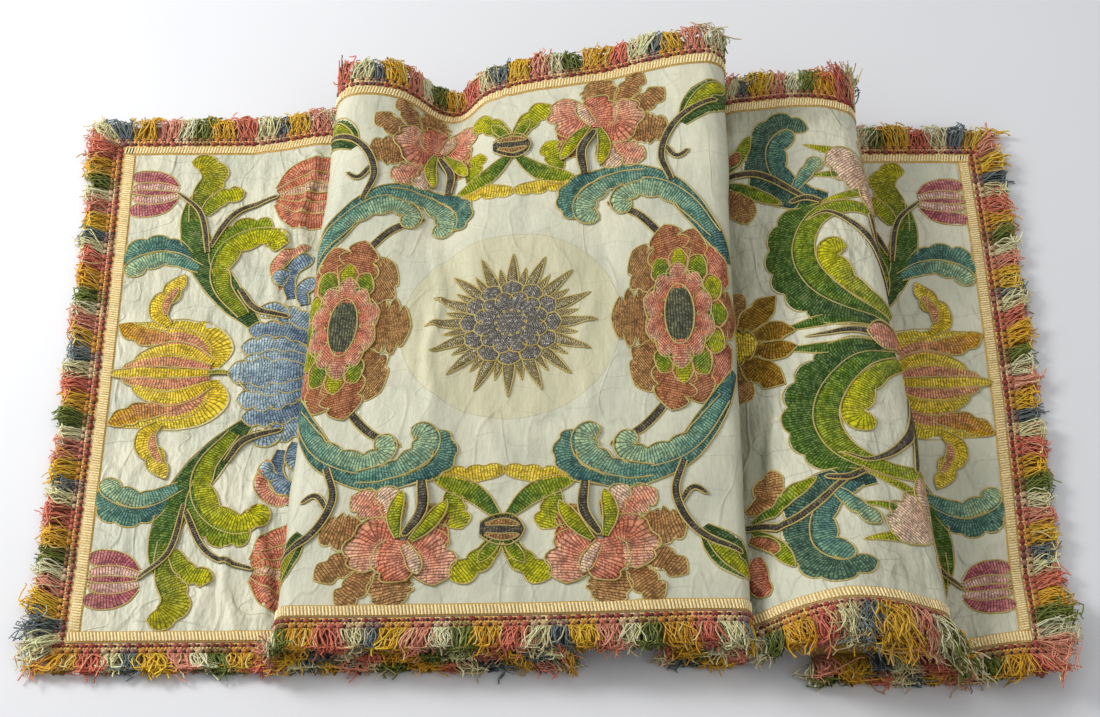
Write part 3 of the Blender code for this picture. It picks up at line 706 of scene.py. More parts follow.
def settle(share):
    """Moves the hidden folds until the cloth between the visible ones has its cut length."""
    turns = {fold.name: at_depth(fold.turn_x, share) for fold in FOLDS}
    for _ in range(SETTLE_ROUNDS):
        _, running, bounds = section(share, turns)
        b, c, e = (turn_length(running, bounds, number) for number in (1, 2, 4))
        turns["A"] += (LEFT_CUT - b) / 2
        turns["D"] -= (RIGHT_CUT - (e - c)) / 2
        turns["F"] -= (END_CUT - (running[-1] - e)) / 2
    return turns


def unit(vectors):
    """The vectors at length one."""
    return vectors / np.maximum(np.linalg.norm(vectors, axis=-1, keepdims=True), 1e-12)


def above_table(points, height):
    """The points, none of them lower than a height over the table."""
    points[..., 2] = np.maximum(points[..., 2], height)
    return points


def smooth(share):
    """0 to 1 with level ends."""
    share = np.clip(share, 0, 1)
    return share * share * (3 - 2 * share)


def crease_heights(u, v):
    """Height of all the creases at flat places."""
    total = np.zeros(np.broadcast(u, v).shape)
    for crease in CREASES:
        run = np.array([crease.u1 - crease.u0, crease.v1 - crease.v0])
        length = np.hypot(*run)
        way = run / length
        along = (u - crease.u0) * way[0] + (v - crease.v0) * way[1]
        side = (u - crease.u0) * way[1] - (v - crease.v0) * way[0]
        side = side + crease.width * CREASE_WANDER * np.sin(along * 34 + crease.u0 * 90)
        fade = CREASE_TAPER * length
        taper = smooth(along / fade) * smooth((length - along) / fade)
        total += crease.height * taper * np.exp(-((side / crease.width) ** 2))
    return total


def billows(u, v):
    """Soft uneven swells in the slack silk, from nothing to their full height."""
    total = np.zeros(np.broadcast(u, v).shape)
    for swell in SWELLS:
        wave = np.sin(u * swell.along + v * swell.back + swell.phase)
        total = total + swell.height * wave * np.cos(v * swell.along * 0.31 + swell.phase * 1.7)
    return np.maximum(total, -0.3 * BILLOW)


class Surface:
    """Table of the folded cloth's middle surface, read at flat places (u, v)."""

    def __init__(self):
        middle = section(0.5, settle(0.5))
        ends = middle[1][middle[2]]
        self.length = ends[-1]
        self.ends = ends - self.length / 2
        self.marks = np.linspace(0, self.length, round(self.length / TABLE_STEP) + 1)
        layers = np.interp(self.marks, ends, np.arange(len(ends)) / 2)
        self.shares = np.linspace(0, 1, TABLE_ROWS)
        rows = []
        for share in self.shares:
            line, running, bounds = section(share, settle(share))
            lengths = running[bounds]
            places = np.interp(2 * layers, np.arange(len(lengths)), lengths)
            x = np.interp(places, running, line[:, 0])
            z = np.maximum(np.interp(places, running, line[:, 1]), FLOOR_HEIGHT)
            drift = np.interp(layers, np.arange(len(LAYER_DRIFT)), LAYER_DRIFT)
            y = (share - 0.5) * CLOTH_DEPTH + drift
            away = np.hypot(RIGHT_BORDER_X[0] - x, y + CLOTH_DEPTH / 2)
            lift = CURL_HEIGHT * smooth(1 - away / CURL_REACH)
            z = z + np.where(layers < len(FOLDS) - 0.5, 0, lift)
            rows.append(np.stack([x, y, z], axis=1))
        self.points = np.array(rows) + SHIFT
        self.read_frames()
        u = self.marks[None, :] - self.length / 2
        v = ((self.shares - 0.5) * CLOTH_DEPTH)[:, None]
        inwards = smooth((HALF_DEPTH - np.abs(v)) / SLACK_MARGIN)
        slack = crease_heights(u, v) + billows(u, v) * inwards
        self.points = above_table(self.points + self.normal * slack[..., None], FLOOR_HEIGHT)
        self.read_frames()

    def read_frames(self):
        """Directions along the cloth, towards its back edge and off its face."""
        self.along = unit(np.gradient(self.points, axis=1))
        self.back = unit(np.gradient(self.points, axis=0))
        self.normal = unit(np.cross(self.along, self.back))

    def at(self, u, v, height=0.0):
        """Points at flat places, at a height off the cloth's middle surface."""
        point, _, _, normal = self.frame(u, v)
        return point + normal * np.asarray(height)[..., None]

    def frame(self, u, v):
        """Point, along, back and normal at flat places inside the cloth."""
        column = np.clip((np.asarray(u) + self.length / 2) / self.length, 0, 1)
        column = column * (len(self.marks) - 1)
        row = np.clip(np.asarray(v) / CLOTH_DEPTH + 0.5, 0, 1) * (TABLE_ROWS - 1)
        left = np.minimum(column.astype(int), len(self.marks) - 2)
        low = np.minimum(row.astype(int), TABLE_ROWS - 2)
        a, b = (column - left)[..., None], (row - low)[..., None]
        found = []
        for table in (self.points, self.along, self.back, self.normal):
            near = table[low, left] * (1 - a) + table[low, left + 1] * a
            far = table[low + 1, left] * (1 - a) + table[low + 1, left + 1] * a
            found.append(near * (1 - b) + far * b)
        return found[0], unit(found[1]), unit(found[2]), unit(found[3])


# ---- Mesh building

def add_object(name, data):
    """A new object in the scene."""
    made = bpy.data.objects.new(name, data)
    bpy.context.scene.collection.objects.link(made)
    return made


class Bag:
    """Vertices and faces of one piece, with flat coordinates and a colour at each vertex."""

    def __init__(self):
        self.points, self.faces, self.flat, self.tint = [], [], [], []
        self.count = 0

    def add(self, points, faces, flat, tint):
        """Adds a block of vertices and its faces, as rows of three or four indices."""
        points = np.asarray(points, float).reshape(-1, 3)
        self.points.append(points)
        self.faces.append(np.asarray(faces, int) + self.count)
        self.flat.append(np.broadcast_to(np.asarray(flat, float), (len(points), 2)))
        self.tint.append(np.broadcast_to(np.asarray(tint, float), (len(points), 3)))
        self.count += len(points)

    def make(self, name, material):
        """The piece as a mesh object."""
        points = np.vstack(self.points)
        flat, tint = np.vstack(self.flat), np.vstack(self.tint)
        counts = np.concatenate([np.full(len(f), f.shape[1]) for f in self.faces])
        loops = np.concatenate([f.ravel() for f in self.faces])
        mesh = bpy.data.meshes.new(name)
        mesh.vertices.add(len(points))
        mesh.vertices.foreach_set("co", points.astype(np.float32).ravel())
        mesh.loops.add(len(loops))
        mesh.loops.foreach_set("vertex_index", loops.astype(np.int32))
        mesh.polygons.add(len(counts))
        starts = np.concatenate([[0], np.cumsum(counts)[:-1]])
        mesh.polygons.foreach_set("loop_start", starts.astype(np.int32))
        mesh.update(calc_edges=True)
        layer = mesh.uv_layers.new(name="flat")
        layer.data.foreach_set("uv", flat[loops].astype(np.float32).ravel())
        colour = mesh.color_attributes.new("tint", "FLOAT_COLOR", "POINT")
        full = np.hstack([tint, np.ones((len(tint), 1))]).astype(np.float32)
        colour.data.foreach_set("color", full.ravel())
        mesh.shade_smooth()
        mesh.materials.append(material)
        return add_object(name, mesh)


def grid_faces(rows, columns, closed=False):
    """Quads between the points of a grid, joined round its columns where closed."""
    row, column = np.meshgrid(
        np.arange(rows - 1), np.arange(columns if closed else columns - 1), indexing="ij"
    )
    after = (column + 1) % columns
    corners = (
        row * columns + column, row * columns + after,
        (row + 1) * columns + after, (row + 1) * columns + column,
    )
    return np.stack(corners, axis=-1).reshape(-1, 4)


def repeated(faces, each, count):
    """The faces of one small block, for a count of blocks with so many vertices each."""
    return (faces[None] + each * np.arange(count)[:, None, None]).reshape(-1, 4)


def smooth_path(path, step):
    """Even points and directions along a smooth line through a few flat places."""
    dense, _ = curve_through(path)
    running = running_length(dense)
    count = max(6, round(running[-1] / step)) + 1
    marks = np.linspace(0, running[-1], count)
    points = np.stack([np.interp(marks, running, dense[:, i]) for i in (0, 1)], axis=1)
    way = unit(np.gradient(points, axis=0))
    return points, way, marks


def lobed(shares, lobes):
    """Share of the half width left along an edge cut into lobes."""
    if not lobes:
        return np.ones_like(shares)
    phase = np.abs(np.sin(np.pi * lobes * np.clip((shares - LOBE_START) / (1 - LOBE_START), 0, 1)))
    return 1 - LOBE_DEPTH * (1 - phase**0.5) * smooth((shares - LOBE_START) / LOBE_RAMP)


def blade_outline(blade):
    """Flat grid of one blade, and the lengths and shares along and across it."""
    points, way, marks = smooth_path(blade.path, BLADE_STEP)
    shares = marks / marks[-1]
    profile = np.array(PROFILES[blade.profile])
    steps = np.linspace(0, 1, len(profile))
    half = blade.width / 2 * np.interp(shares, steps, profile)
    tip = np.minimum(1.0, (marks[-1] - marks) / (TIP_ROUND * blade.width))
    half = half * np.sqrt(np.clip(1 - (1 - tip) ** 2, LEAST_TIP, 1))
    side = np.stack([-way[:, 1], way[:, 0]], axis=1)
    left, right = half * lobed(shares, blade.lobes[0]), half * lobed(shares, blade.lobes[1])
    across = np.linspace(1, -1, BLADE_ACROSS)
    reach = np.where(across > 0, left[:, None] * across, right[:, None] * across)
    flat = points[:, None, :] + side[:, None, :] * reach[..., None]
    return flat, marks, shares, reach, across


def add_blade(bags, blade, place):
    """One embroidered blade and the couched cord round it. place maps its flat places."""
    flat, marks, shares, reach, across = blade_outline(blade)
    u, v = place(flat[..., 0], flat[..., 1])
    middle = BLADE_ACROSS // 2
    swap = np.cross(np.array([u[1, middle] - u[0, middle], v[1, middle] - v[0, middle]]),
                    np.array([u[1, 0] - u[1, middle], v[1, 0] - v[1, middle]])) < 0
    base = CLOTH_THICK / 2 + BLADE_LIFT + blade.level * LEVEL_LIFT
    dome = BLADE_DOME * (1 - np.abs(across) ** 3)
    dome = dome[None, :] * smooth(np.minimum(shares, 1 - shares) / DOME_RAMP)[:, None]
    edge = (np.abs(across) > 0.99) * (blade.level * LEVEL_LIFT + 2 * BLADE_LIFT)
    points = surface.at(u, v, base + dome - edge[None, :])
    tint = TINTS[blade.tint]
    root, tip, streak = (np.array(c) for c in (tint.root, tint.tip, tint.streak))
    uneven = UNEVEN_SHADE * np.sin(marks * 210)[:, None]
    uneven = uneven * np.cos(across * 2.4 + marks[:, None] * 90)
    change = smooth(shares[:, None] + uneven + SLANTED_SHADE * across)[..., None]
    colour = root + (tip - root) * change
    middle = (np.exp(-((across / STREAK_REACH) ** 2)) * tint.share)[None, :, None]
    colour = colour * (1 - middle) + streak * middle
    faces = grid_faces(len(marks), BLADE_ACROSS)
    if not swap:
        faces = faces[:, ::-1]
    uv = np.stack([np.broadcast_to(marks[:, None], u.shape), reach], axis=-1)
    bags["silks"].add(points, faces, uv.reshape(-1, 2), colour.reshape(-1, 3))
    rim_u = np.concatenate([u[:, 0], u[::-1, -1]])
    rim_v = np.concatenate([v[:, 0], v[::-1, -1]])
    add_cord(bags["cords"], rim_u, rim_v, base - BLADE_LIFT)


def add_cord(bag, u, v, height):
    """A low couched cord along flat places, as a ridge of three faces."""
    place = np.stack([u, v], axis=1)
    steps = np.linalg.norm(np.diff(place, axis=0), axis=1)
    place = place[np.concatenate([[True], steps > CORD_LEAST_STEP])]
    way = unit(np.gradient(place, axis=0))
    side = np.stack([-way[:, 1], way[:, 0]], axis=1) * CORD_WIDTH / 2
    rows = []
    for share, rise in CORD_PROFILE:
        at = place + side * share
        rows.append(surface.at(at[:, 0], at[:, 1], height + CORD_HEIGHT * rise))
    points = np.stack(rows, axis=1)
    run = running_length(place)
    uv = np.stack(np.meshgrid(run, (0, 0.3, 0.7, 1), indexing="ij"), axis=-1)
    bag.add(points, grid_faces(len(place), 4), uv.reshape(-1, 2), CORD_TINT)


def mirrored(blades, ways):
    """Every blade with each of its mirror maps."""
    for blade in blades:
        for along, back in ways:
            yield blade, (lambda u, v, along=along, back=back: (u * along, v * back))


FOUR = ((1, 1), (-1, 1), (1, -1), (-1, -1))
ACROSS = ((1, 1), (-1, 1))
ENDWISE = ((1, 1), (1, -1))


def ring_blades(rings):
    """The blades of radial rings about the origin, each as a path along its own ray."""
    for ring in rings:
        for number in range(ring.count):
            angle = 2 * math.pi * (number + ring.turn) / ring.count
            way = np.array([math.cos(angle), math.sin(angle)])
            outer = ring.outer * (1 + ring.uneven * math.sin(number * 2.4 + ring.count))
            path = tuple(tuple(way * r) for r in np.linspace(ring.inner, outer, 3))
            yield Blade(path, ring.width, ring.profile, ring.lobes, ring.tint, ring.level)


surface = Surface()
bags = {name: Bag() for name in ("silks", "cords", "metal", "boss_cords")}
motifs = [
    *mirrored(END_MOTIFS, FOUR), *mirrored(PANEL_MOTIFS, FOUR), *mirrored(MIDDLE_MOTIFS, FOUR),
    *mirrored(END_AXIS, ACROSS), *mirrored(PANEL_AXIS, ACROSS), *mirrored(MIDDLE_AXIS, ENDWISE),
]
for blade, place in motifs:
    add_blade(bags, blade, place)
for side in (1, -1):
    def at_rosette(u, v, side=side):
        """Places of a rosette's petals on the cloth."""
        return (
            side * (ROSETTE_PLACE[0] + u * ROSETTE_STRETCH[0]),
            ROSETTE_PLACE[1] + v * ROSETTE_STRETCH[1],
        )
    for blade in ring_blades(ROSETTE_RINGS):
        add_blade(bags, blade, at_rosette)
    for petal in ROSETTE_PETALS:
        turn = math.radians(petal.turn)
        path = tuple(
            (math.cos(turn) * r, math.sin(turn) * r)
            for r in (petal.inner, (petal.inner + petal.outer) / 2, petal.outer)
        )
        blade = Blade(path, petal.width, "round", petal.lobes, petal.tint, petal.level)
        add_blade(bags, blade, at_rosette)

boss = {"silks": bags["metal"], "cords": bags["boss_cords"]}
for blade in ring_blades(BOSS_RAYS + BOSS_RINGS):
    add_blade(boss, blade, lambda u, v: (u, v))


def add_disc(bag, centre, disc):
    """A domed disc worked on the cloth, with a couched cord round it."""
    rings, spokes = 9, 49
    shares, angles = np.linspace(0, 1, rings), np.linspace(0, 2 * np.pi, spokes)
    u = centre[0] + disc.radii[0] * shares[:, None] * np.cos(angles)[None, :]
    v = centre[1] + disc.radii[1] * shares[:, None] * np.sin(angles)[None, :]
    lift = disc.lift + disc.dome * (1 - shares**2)[:, None] + np.zeros_like(u)
    uv = np.stack([u - centre[0], v - centre[1]], axis=-1)
    faces = grid_faces(rings, spokes)[:, ::-1]
    bag.add(surface.at(u, v, lift), faces, uv.reshape(-1, 2), disc.tint)
    add_cord(bags["cords"], u[-1], v[-1], disc.lift)


add_disc(bags["metal"], (0, 0), BOSS_CENTRE)
for side in (1, -1):
    add_disc(bags["silks"], (side * ROSETTE_PLACE[0], ROSETTE_PLACE[1]), ROSETTE_MESH)


# ---- Cloth

def shown_columns():
    """Flat places of the sheet's columns: close where the cloth shows, wide in the folds."""
    found = [surface.ends[0]]
    for number, (start, end) in enumerate(zip(surface.ends, surface.ends[1:])):
        if number == 0:
            count = round((LEFT_SHOWN - start) / SHOWN_STEP) + 1
            found.extend(np.linspace(start, LEFT_SHOWN, count)[1:])
            start = LEFT_SHOWN
        step = HIDDEN_STEP if number in HIDDEN_STRETCHES else SHOWN_STEP
        found.extend(np.linspace(start, end, max(3, round((end - start) / step)) + 1)[1:])
    return np.array(found)


def cloth_sheet(material):
    """The silk with its thickness: face, lining and edges in one closed mesh."""
    columns = shown_columns()
    v = np.linspace(-0.5, 0.5, SHEET_ROWS) * CLOTH_DEPTH
    u, v = np.meshgrid(columns, v)
    rows, count = u.shape
    uv = np.stack([u, v], axis=-1).reshape(-1, 2)
    bag = Bag()
    face = surface.at(u, v, CLOTH_THICK / 2)
    lining = surface.at(u, v, -CLOTH_THICK / 2)
    top = grid_faces(rows, count)
    size = rows * count
    rim = np.concatenate([
        np.arange(count), np.arange(1, rows) * count + count - 1,
        np.arange(count - 2, -1, -1) + (rows - 1) * count, np.arange(rows - 2, 0, -1) * count,
    ])
    after = np.roll(rim, -1)
    sides = np.stack([rim, rim + size, after + size, after], axis=1)
    bag.add(
        np.vstack([face.reshape(-1, 3), lining.reshape(-1, 3)]),
        np.vstack([top, top[:, ::-1] + size, sides]),
        np.vstack([uv, uv]), (0.6, 0.58, 0.5),
    )
    return bag.make("silk_cloth", material)


# ---- Edges of the cloth

def edge_frame(name, along):
    """Point, direction along, outwards and off the face, at places along an edge."""
    half = surface.length / 2
    if name in LONG_EDGES:
        way = -1 if name == "front" else 1
        held = np.clip(along, -half, half)
        point, run, back, normal = surface.frame(held, np.full_like(held, way * HALF_DEPTH))
        out = back * way
        out[..., 2] = 0
        return point + run * (along - held)[..., None], run, unit(out), normal
    way = -1 if name == "left" else 1
    held = np.clip(along, -HALF_DEPTH, HALF_DEPTH)
    point, run, back, normal = surface.frame(np.full_like(held, way * half), held)
    return point + back * (along - held)[..., None], back, run * way, normal


def edge_length(name):
    """Half the length of an edge."""
    return surface.length / 2 if name in LONG_EDGES else HALF_DEPTH


BLOCK_BOUNDS = np.cumsum([0] + [block.length for block in BLOCKS])
BLOCK_COLOURS = np.array([block.colour for block in BLOCKS])


def blocks_at(name, along):
    """The colour block at places along an edge, and each place within one round of blocks."""
    place = np.mod(along + EDGES[name].offset, BLOCK_BOUNDS[-1])
    number = np.searchsorted(BLOCK_BOUNDS, place, side="right") - 1
    return np.clip(number, 0, len(BLOCKS) - 1), place


def block_colours(name, along):
    """Colour of the fringe at places along an edge."""
    return BLOCK_COLOURS[blocks_at(name, along)[0]]


def strip_faces(name, rows, columns):
    """Quads of a grid that runs along an edge, turned to face outwards."""
    faces = grid_faces(rows, columns)
    return faces[:, ::-1] if name in ("front", "right") else faces


def add_ribbon(bag, name, first, last, height, dome, tint_of, step):
    """A ribbon along an edge, between two distances outwards from the cloth's edge."""
    half = edge_length(name)
    extra = last if name in LONG_EDGES and last > 0 else 0
    along = np.linspace(-half - extra, half + extra, round(2 * half / step) + 1)
    point, _, out, normal = edge_frame(name, along)
    rows = []
    for share in RIBBON_SHARES:
        away = first + (last - first) * share
        lift = height + dome * (0 if share in (0, 1) else 1)
        rows.append(off_edge(name, along, point, out, normal, away, lift))
    points = above_table(np.stack(rows, axis=1), TRIM_FLOOR)
    width = len(RIBBON_SHARES)
    uv = np.stack(np.meshgrid(along, np.linspace(first, last, width), indexing="ij"), axis=-1)
    tint = np.repeat(tint_of(along), width, axis=0)
    bag.add(points, strip_faces(name, len(along), width), uv.reshape(-1, 2), tint)


def off_edge(name, along, point, out, normal, away, lift):
    """Points at a distance outwards from an edge, or on the cloth where it is inwards."""
    if away > 0:
        return point + out * away + normal * lift
    half = surface.length / 2
    if name in LONG_EDGES:
        v = HALF_DEPTH + away
        return surface.at(along, np.full_like(along, v if name == "back" else -v), lift)
    u = half + away
    return surface.at(np.full_like(along, u if name == "right" else -u), along, lift)


def add_rungs(bag, name):
    """Raised slanting rungs of the ladder galloon."""
    half = edge_length(name) - (0 if name in LONG_EDGES else GALLOON_WIDTH)
    along = np.arange(-half + RUNG_PITCH / 2, half, RUNG_PITCH)
    count = len(along)
    base = CLOTH_THICK / 2 + RUNG_LIFT
    corners = []
    for away, shift in ((-GALLOON_WIDTH + RUNG_INSET, -RUNG_SLANT), (-RUNG_INSET, RUNG_SLANT)):
        for side, rise in ((-0.5, 0), (-0.25, RUNG_HEIGHT), (0.25, RUNG_HEIGHT), (0.5, 0)):
            place = along + side * (RUNG_PITCH * RUNG_SHARE) + shift
            point, _, out, normal = edge_frame(name, place)
            corners.append(off_edge(name, place, point, out, normal, away, base + rise))
    shade = 0.86 + 0.2 * rng.random(count)
    tint = np.repeat(RUNG_COLOUR[None, :] * shade[:, None], 8, axis=0)
    faces = repeated(strip_faces(name, 2, 4), 8, count)
    bag.add(np.stack(corners, axis=1), faces, np.zeros(2), tint)


def add_knots(bag, name):
    """Two rows of looped knots along a heading, dark gaps, and a pale chain between the rows."""
    half = edge_length(name) + (HEADING_WIDTH * 0.7 if name in LONG_EDGES else 0)
    for row, (away, red) in enumerate(KNOT_ROWS):
        along = np.arange(-half, half, KNOT_PITCH) + row * KNOT_PITCH * 0.5
        along = along + rng.normal(0, 0.0005, len(along))
        share = (red * (0.8 + 0.2 * rng.random(len(along))))[:, None]
        knots = block_colours(name, along) * (1 - share) + KNOT_RED * share
        add_bumps(bag, name, along, away, KNOT_SIZE, knots)
        gaps = np.broadcast_to(GAP_DARK, knots.shape)
        add_bumps(bag, name, along + KNOT_PITCH / 2, away, GAP_SIZE, gaps)
    loops = np.arange(-half, half, KNOT_PITCH / 2.5)
    pale = block_colours(name, loops) * 0.6 + CHAIN_PALE
    add_bumps(bag, name, loops, CHAIN_AWAY, CHAIN_SIZE, pale)


def add_bumps(bag, name, along, away, size, tints):
    """A row of small rounded bumps on a heading."""
    point, run, out, normal = edge_frame(name, along)
    turns = np.linspace(0, 2 * np.pi, 7)[:-1]
    centre = point + out * away + normal * 0.0012
    scale = (1 + rng.normal(0, 0.1, len(along)))[:, None]
    rings = []
    for rise, wide in ((0.0, 1.0), (1.0, 0.66)):
        for turn in turns:
            step = run * math.cos(turn) * size[0] + out * math.sin(turn) * size[1]
            rings.append(centre + (step * wide + normal * rise * size[2]) * scale)
    points = above_table(np.stack(rings, axis=1), KNOT_FLOOR)
    cap = np.array([[6, 7, 8, 9], [6, 9, 10, 11]])
    faces = np.vstack([grid_faces(2, 6, closed=True), cap])
    each = len(rings)
    every = repeated(faces, each, len(along))
    bag.add(points, every, np.zeros(2), np.repeat(tints, each, axis=0))


# ---- Fringe threads

def thread_tubes(bag, centres, radius, tints):
    """Three-sided tubes along rows of centre points."""
    way = unit(np.gradient(centres, axis=1))
    across = unit(np.cross(way, np.array([0.13, 0.21, 0.97])))
    up = np.cross(across, way)
    count, steps = centres.shape[:2]
    rings = []
    for turn in (0.5, 2.6, 4.7):
        arm = across * math.cos(turn) + up * math.sin(turn)
        rings.append(centres + arm * radius[:, None, None])
    points = above_table(np.stack(rings, axis=2), TRIM_FLOOR)
    every = repeated(grid_faces(steps, 3, closed=True), steps * 3, count)
    # Painted shade: each thread darker at its root than at its tip
    shade = np.linspace(*THREAD_SHADES, steps)[None, :, None, None]
    tint = (tints[:, None, None, :] * shade) * np.ones((1, 1, 3, 1))
    bag.add(points, every, np.zeros(2), tint.reshape(-1, 3))


def tufts_at(name, along):
    """Colour, number and place within its tuft (-0.5 to 0.5) of each thread of an edge."""
    number, place = blocks_at(name, along)
    middle = (BLOCK_BOUNDS[number] + BLOCK_BOUNDS[number + 1]) / 2
    inside = (place - middle) / np.diff(BLOCK_BOUNDS)[number]
    turn = np.floor((along + EDGES[name].offset + 9) / BLOCK_BOUNDS[-1])
    return BLOCK_COLOURS[number], turn * len(BLOCKS) + number, inside


def add_under_skirt_in_painted_shade(bag, name):
    """The lower threads of a skirt, as a ragged sheet of narrow tongues, darkened as painted shade
    under the threads.
    """
    half = edge_length(name) + (HEADING_WIDTH if name in LONG_EDGES else 0)
    along = np.linspace(-half, half, round(2 * half / UNDER_STEP) + 1)
    colours, _, inside = tufts_at(name, along)
    point, _, out, _ = edge_frame(name, along)
    ragged = rng.normal(0, 0.05, len(along))
    reach = SKIRT_LENGTH * (0.48 + 0.18 * np.cos(inside * np.pi) + ragged)
    rows = []
    for share in (0.0, 0.5, 1.0):
        row = point + out * (HEADING_WIDTH - 0.001 + reach * share)[:, None]
        arch = 0.0008 + 0.0016 * math.sin(math.pi * share)
        row[:, 2] += arch - drop_of(name, point[:, 2], share)
        rows.append(row)
    points = above_table(np.stack(rows, axis=1), KNOT_FLOOR)
    # Painted shade: the block colour darkened
    tint = np.repeat(colours * UNDER_SHADE, 3, axis=0)
    bag.add(points, strip_faces(name, len(along), 3), np.zeros(2), tint)


def drop_of(name, height, share):
    """How far a fringe has sunk at a share of its length."""
    return np.minimum(EDGES[name].sink * height, SINK_LIMIT) * share**1.5


def thread_roots(name, bunches):
    """Where the threads of a fringe start: along the edge, away from it, and how much higher."""
    half = edge_length(name)
    count = int(2 * (half + HEADING_WIDTH) / THREAD_PITCH)
    along = [rng.uniform(-half - HEADING_WIDTH, half + HEADING_WIDTH, count)]
    away = [np.full(count, HEADING_WIDTH - 0.002)]
    higher = [np.zeros(count)]
    for bunch in bunches:
        spread = bunch.reach * 0.6
        along.append(np.clip(rng.normal(bunch.along, spread, bunch.more), -half, half))
        away.append(rng.uniform(0.004, HEADING_WIDTH + 0.014, bunch.more))
        higher.append(bunch.lift * rng.random(bunch.more))
    return np.concatenate(along), np.concatenate(away), np.concatenate(higher)


def add_threads(bag, name):
    """The skirt of one fringe: threads in tufts, each with its own lean, bend and length."""
    bunches = [bunch for bunch in BUNCHES if bunch.name == name]
    along, away, higher = thread_roots(name, bunches)
    count = len(along)
    colours, number, inside = tufts_at(name, along)
    point, run, out, normal = edge_frame(name, along)
    layer = rng.random(count)
    root = point + out * away[:, None] + normal * (layer * 0.0030 + 0.0016 * (higher > 0))[:, None]
    swing = np.sin(number * 12.9898) * TUFT_SWING
    to_corner = edge_length(name) + HEADING_WIDTH - np.abs(along)
    to_end = smooth(1 - to_corner / CORNER_REACH) * np.sign(along)
    lean = swing - inside * TUFT_GATHER + rng.normal(0, LEAN_SPREAD, count)
    lean = lean * (1 - np.abs(to_end)) + to_end * CORNER_LEAN
    size = 0.90 + 0.10 * np.cos(inside * np.pi) + 0.10 * np.sin(number * 4.1)
    length = SKIRT_LENGTH * np.clip(size + rng.normal(0, LENGTH_SPREAD, count), *LENGTH_LIMITS)
    bunched = np.zeros(count)
    for bunch in bunches:
        bunched += bunch.share * np.exp(-(((along - bunch.along) / bunch.reach) ** 2))
    length = length * (1 + bunched)
    lean = lean + bunched * rng.normal(0, BUNCH_SPREAD, count)
    shares = np.linspace(0, 1, THREAD_STEPS)
    bow = rng.normal(0, BOW_SPREAD, count)[:, None] * np.sin(np.pi * shares)
    phase = rng.uniform(0, 2 * np.pi, count)[:, None]
    crimp = CRIMP * np.sin(shares * 10 + phase) * (0.3 + shares)
    looped = (rng.random(count) < LOOPED_SHARE)[:, None]
    hooked = looped * smooth((shares - 0.50) / 0.50)
    hook_side = np.where(rng.random(count) < 0.5, -1, 1)[:, None] * LOOP_WIDTH
    side = lean[:, None] * shares + bow + crimp + hooked * hook_side
    straight = np.sqrt(np.clip(1 - 0.5 * lean**2, 0.45, 1))[:, None] * shares
    forward = straight * np.where(looped, LOOP_REACH, PLAIN_REACH) - LOOP_RETURN * hooked
    arch = np.sin(np.pi * np.minimum(shares * 0.9, 0.72))
    lift = (0.003 + EDGES[name].rise * length * layer)[:, None] * arch
    drop = drop_of(name, root[:, 2:3], shares[None, :])
    centres = (
        root[:, None, :]
        + out[:, None, :] * (forward * length[:, None])[..., None]
        + run[:, None, :] * (side * length[:, None])[..., None]
    )
    centres[..., 2] += lift - drop + higher[:, None] * np.sin(np.pi * np.minimum(shares, 0.8))
    low = (root[:, 2:3] < LOW_ROOT) & (higher[:, None] == 0)
    resting = 0.0014 + layer[:, None] * 0.0120
    down = smooth((shares - 0.30) / 0.70)[None, :]
    resting = centres[..., 2] * (1 - down) + resting * down + lift * 0.25
    centres[..., 2] = np.where(low, resting, centres[..., 2])
    # Painted shade: threads that lie lower are darker and upper ones lighter, with some random tone
    # on top
    shade = (0.56 + 0.56 * layer + 0.42 * rng.random(count))[:, None]
    tint = colours * shade
    stray = (rng.random(count) < STRAY_SHARE)[:, None]
    tint = np.minimum(np.where(stray, tint * 0.4 + STRAY_COLOUR * shade, tint), BRIGHTEST)
    centres[..., 2] = np.minimum(centres[..., 2], TOP_HEIGHT - 0.002 * rng.random((count, 1)))
    thread_tubes(bag, centres, THREAD_RADIUS * rng.uniform(0.8, 1.2, count), tint)


# ---- Materials

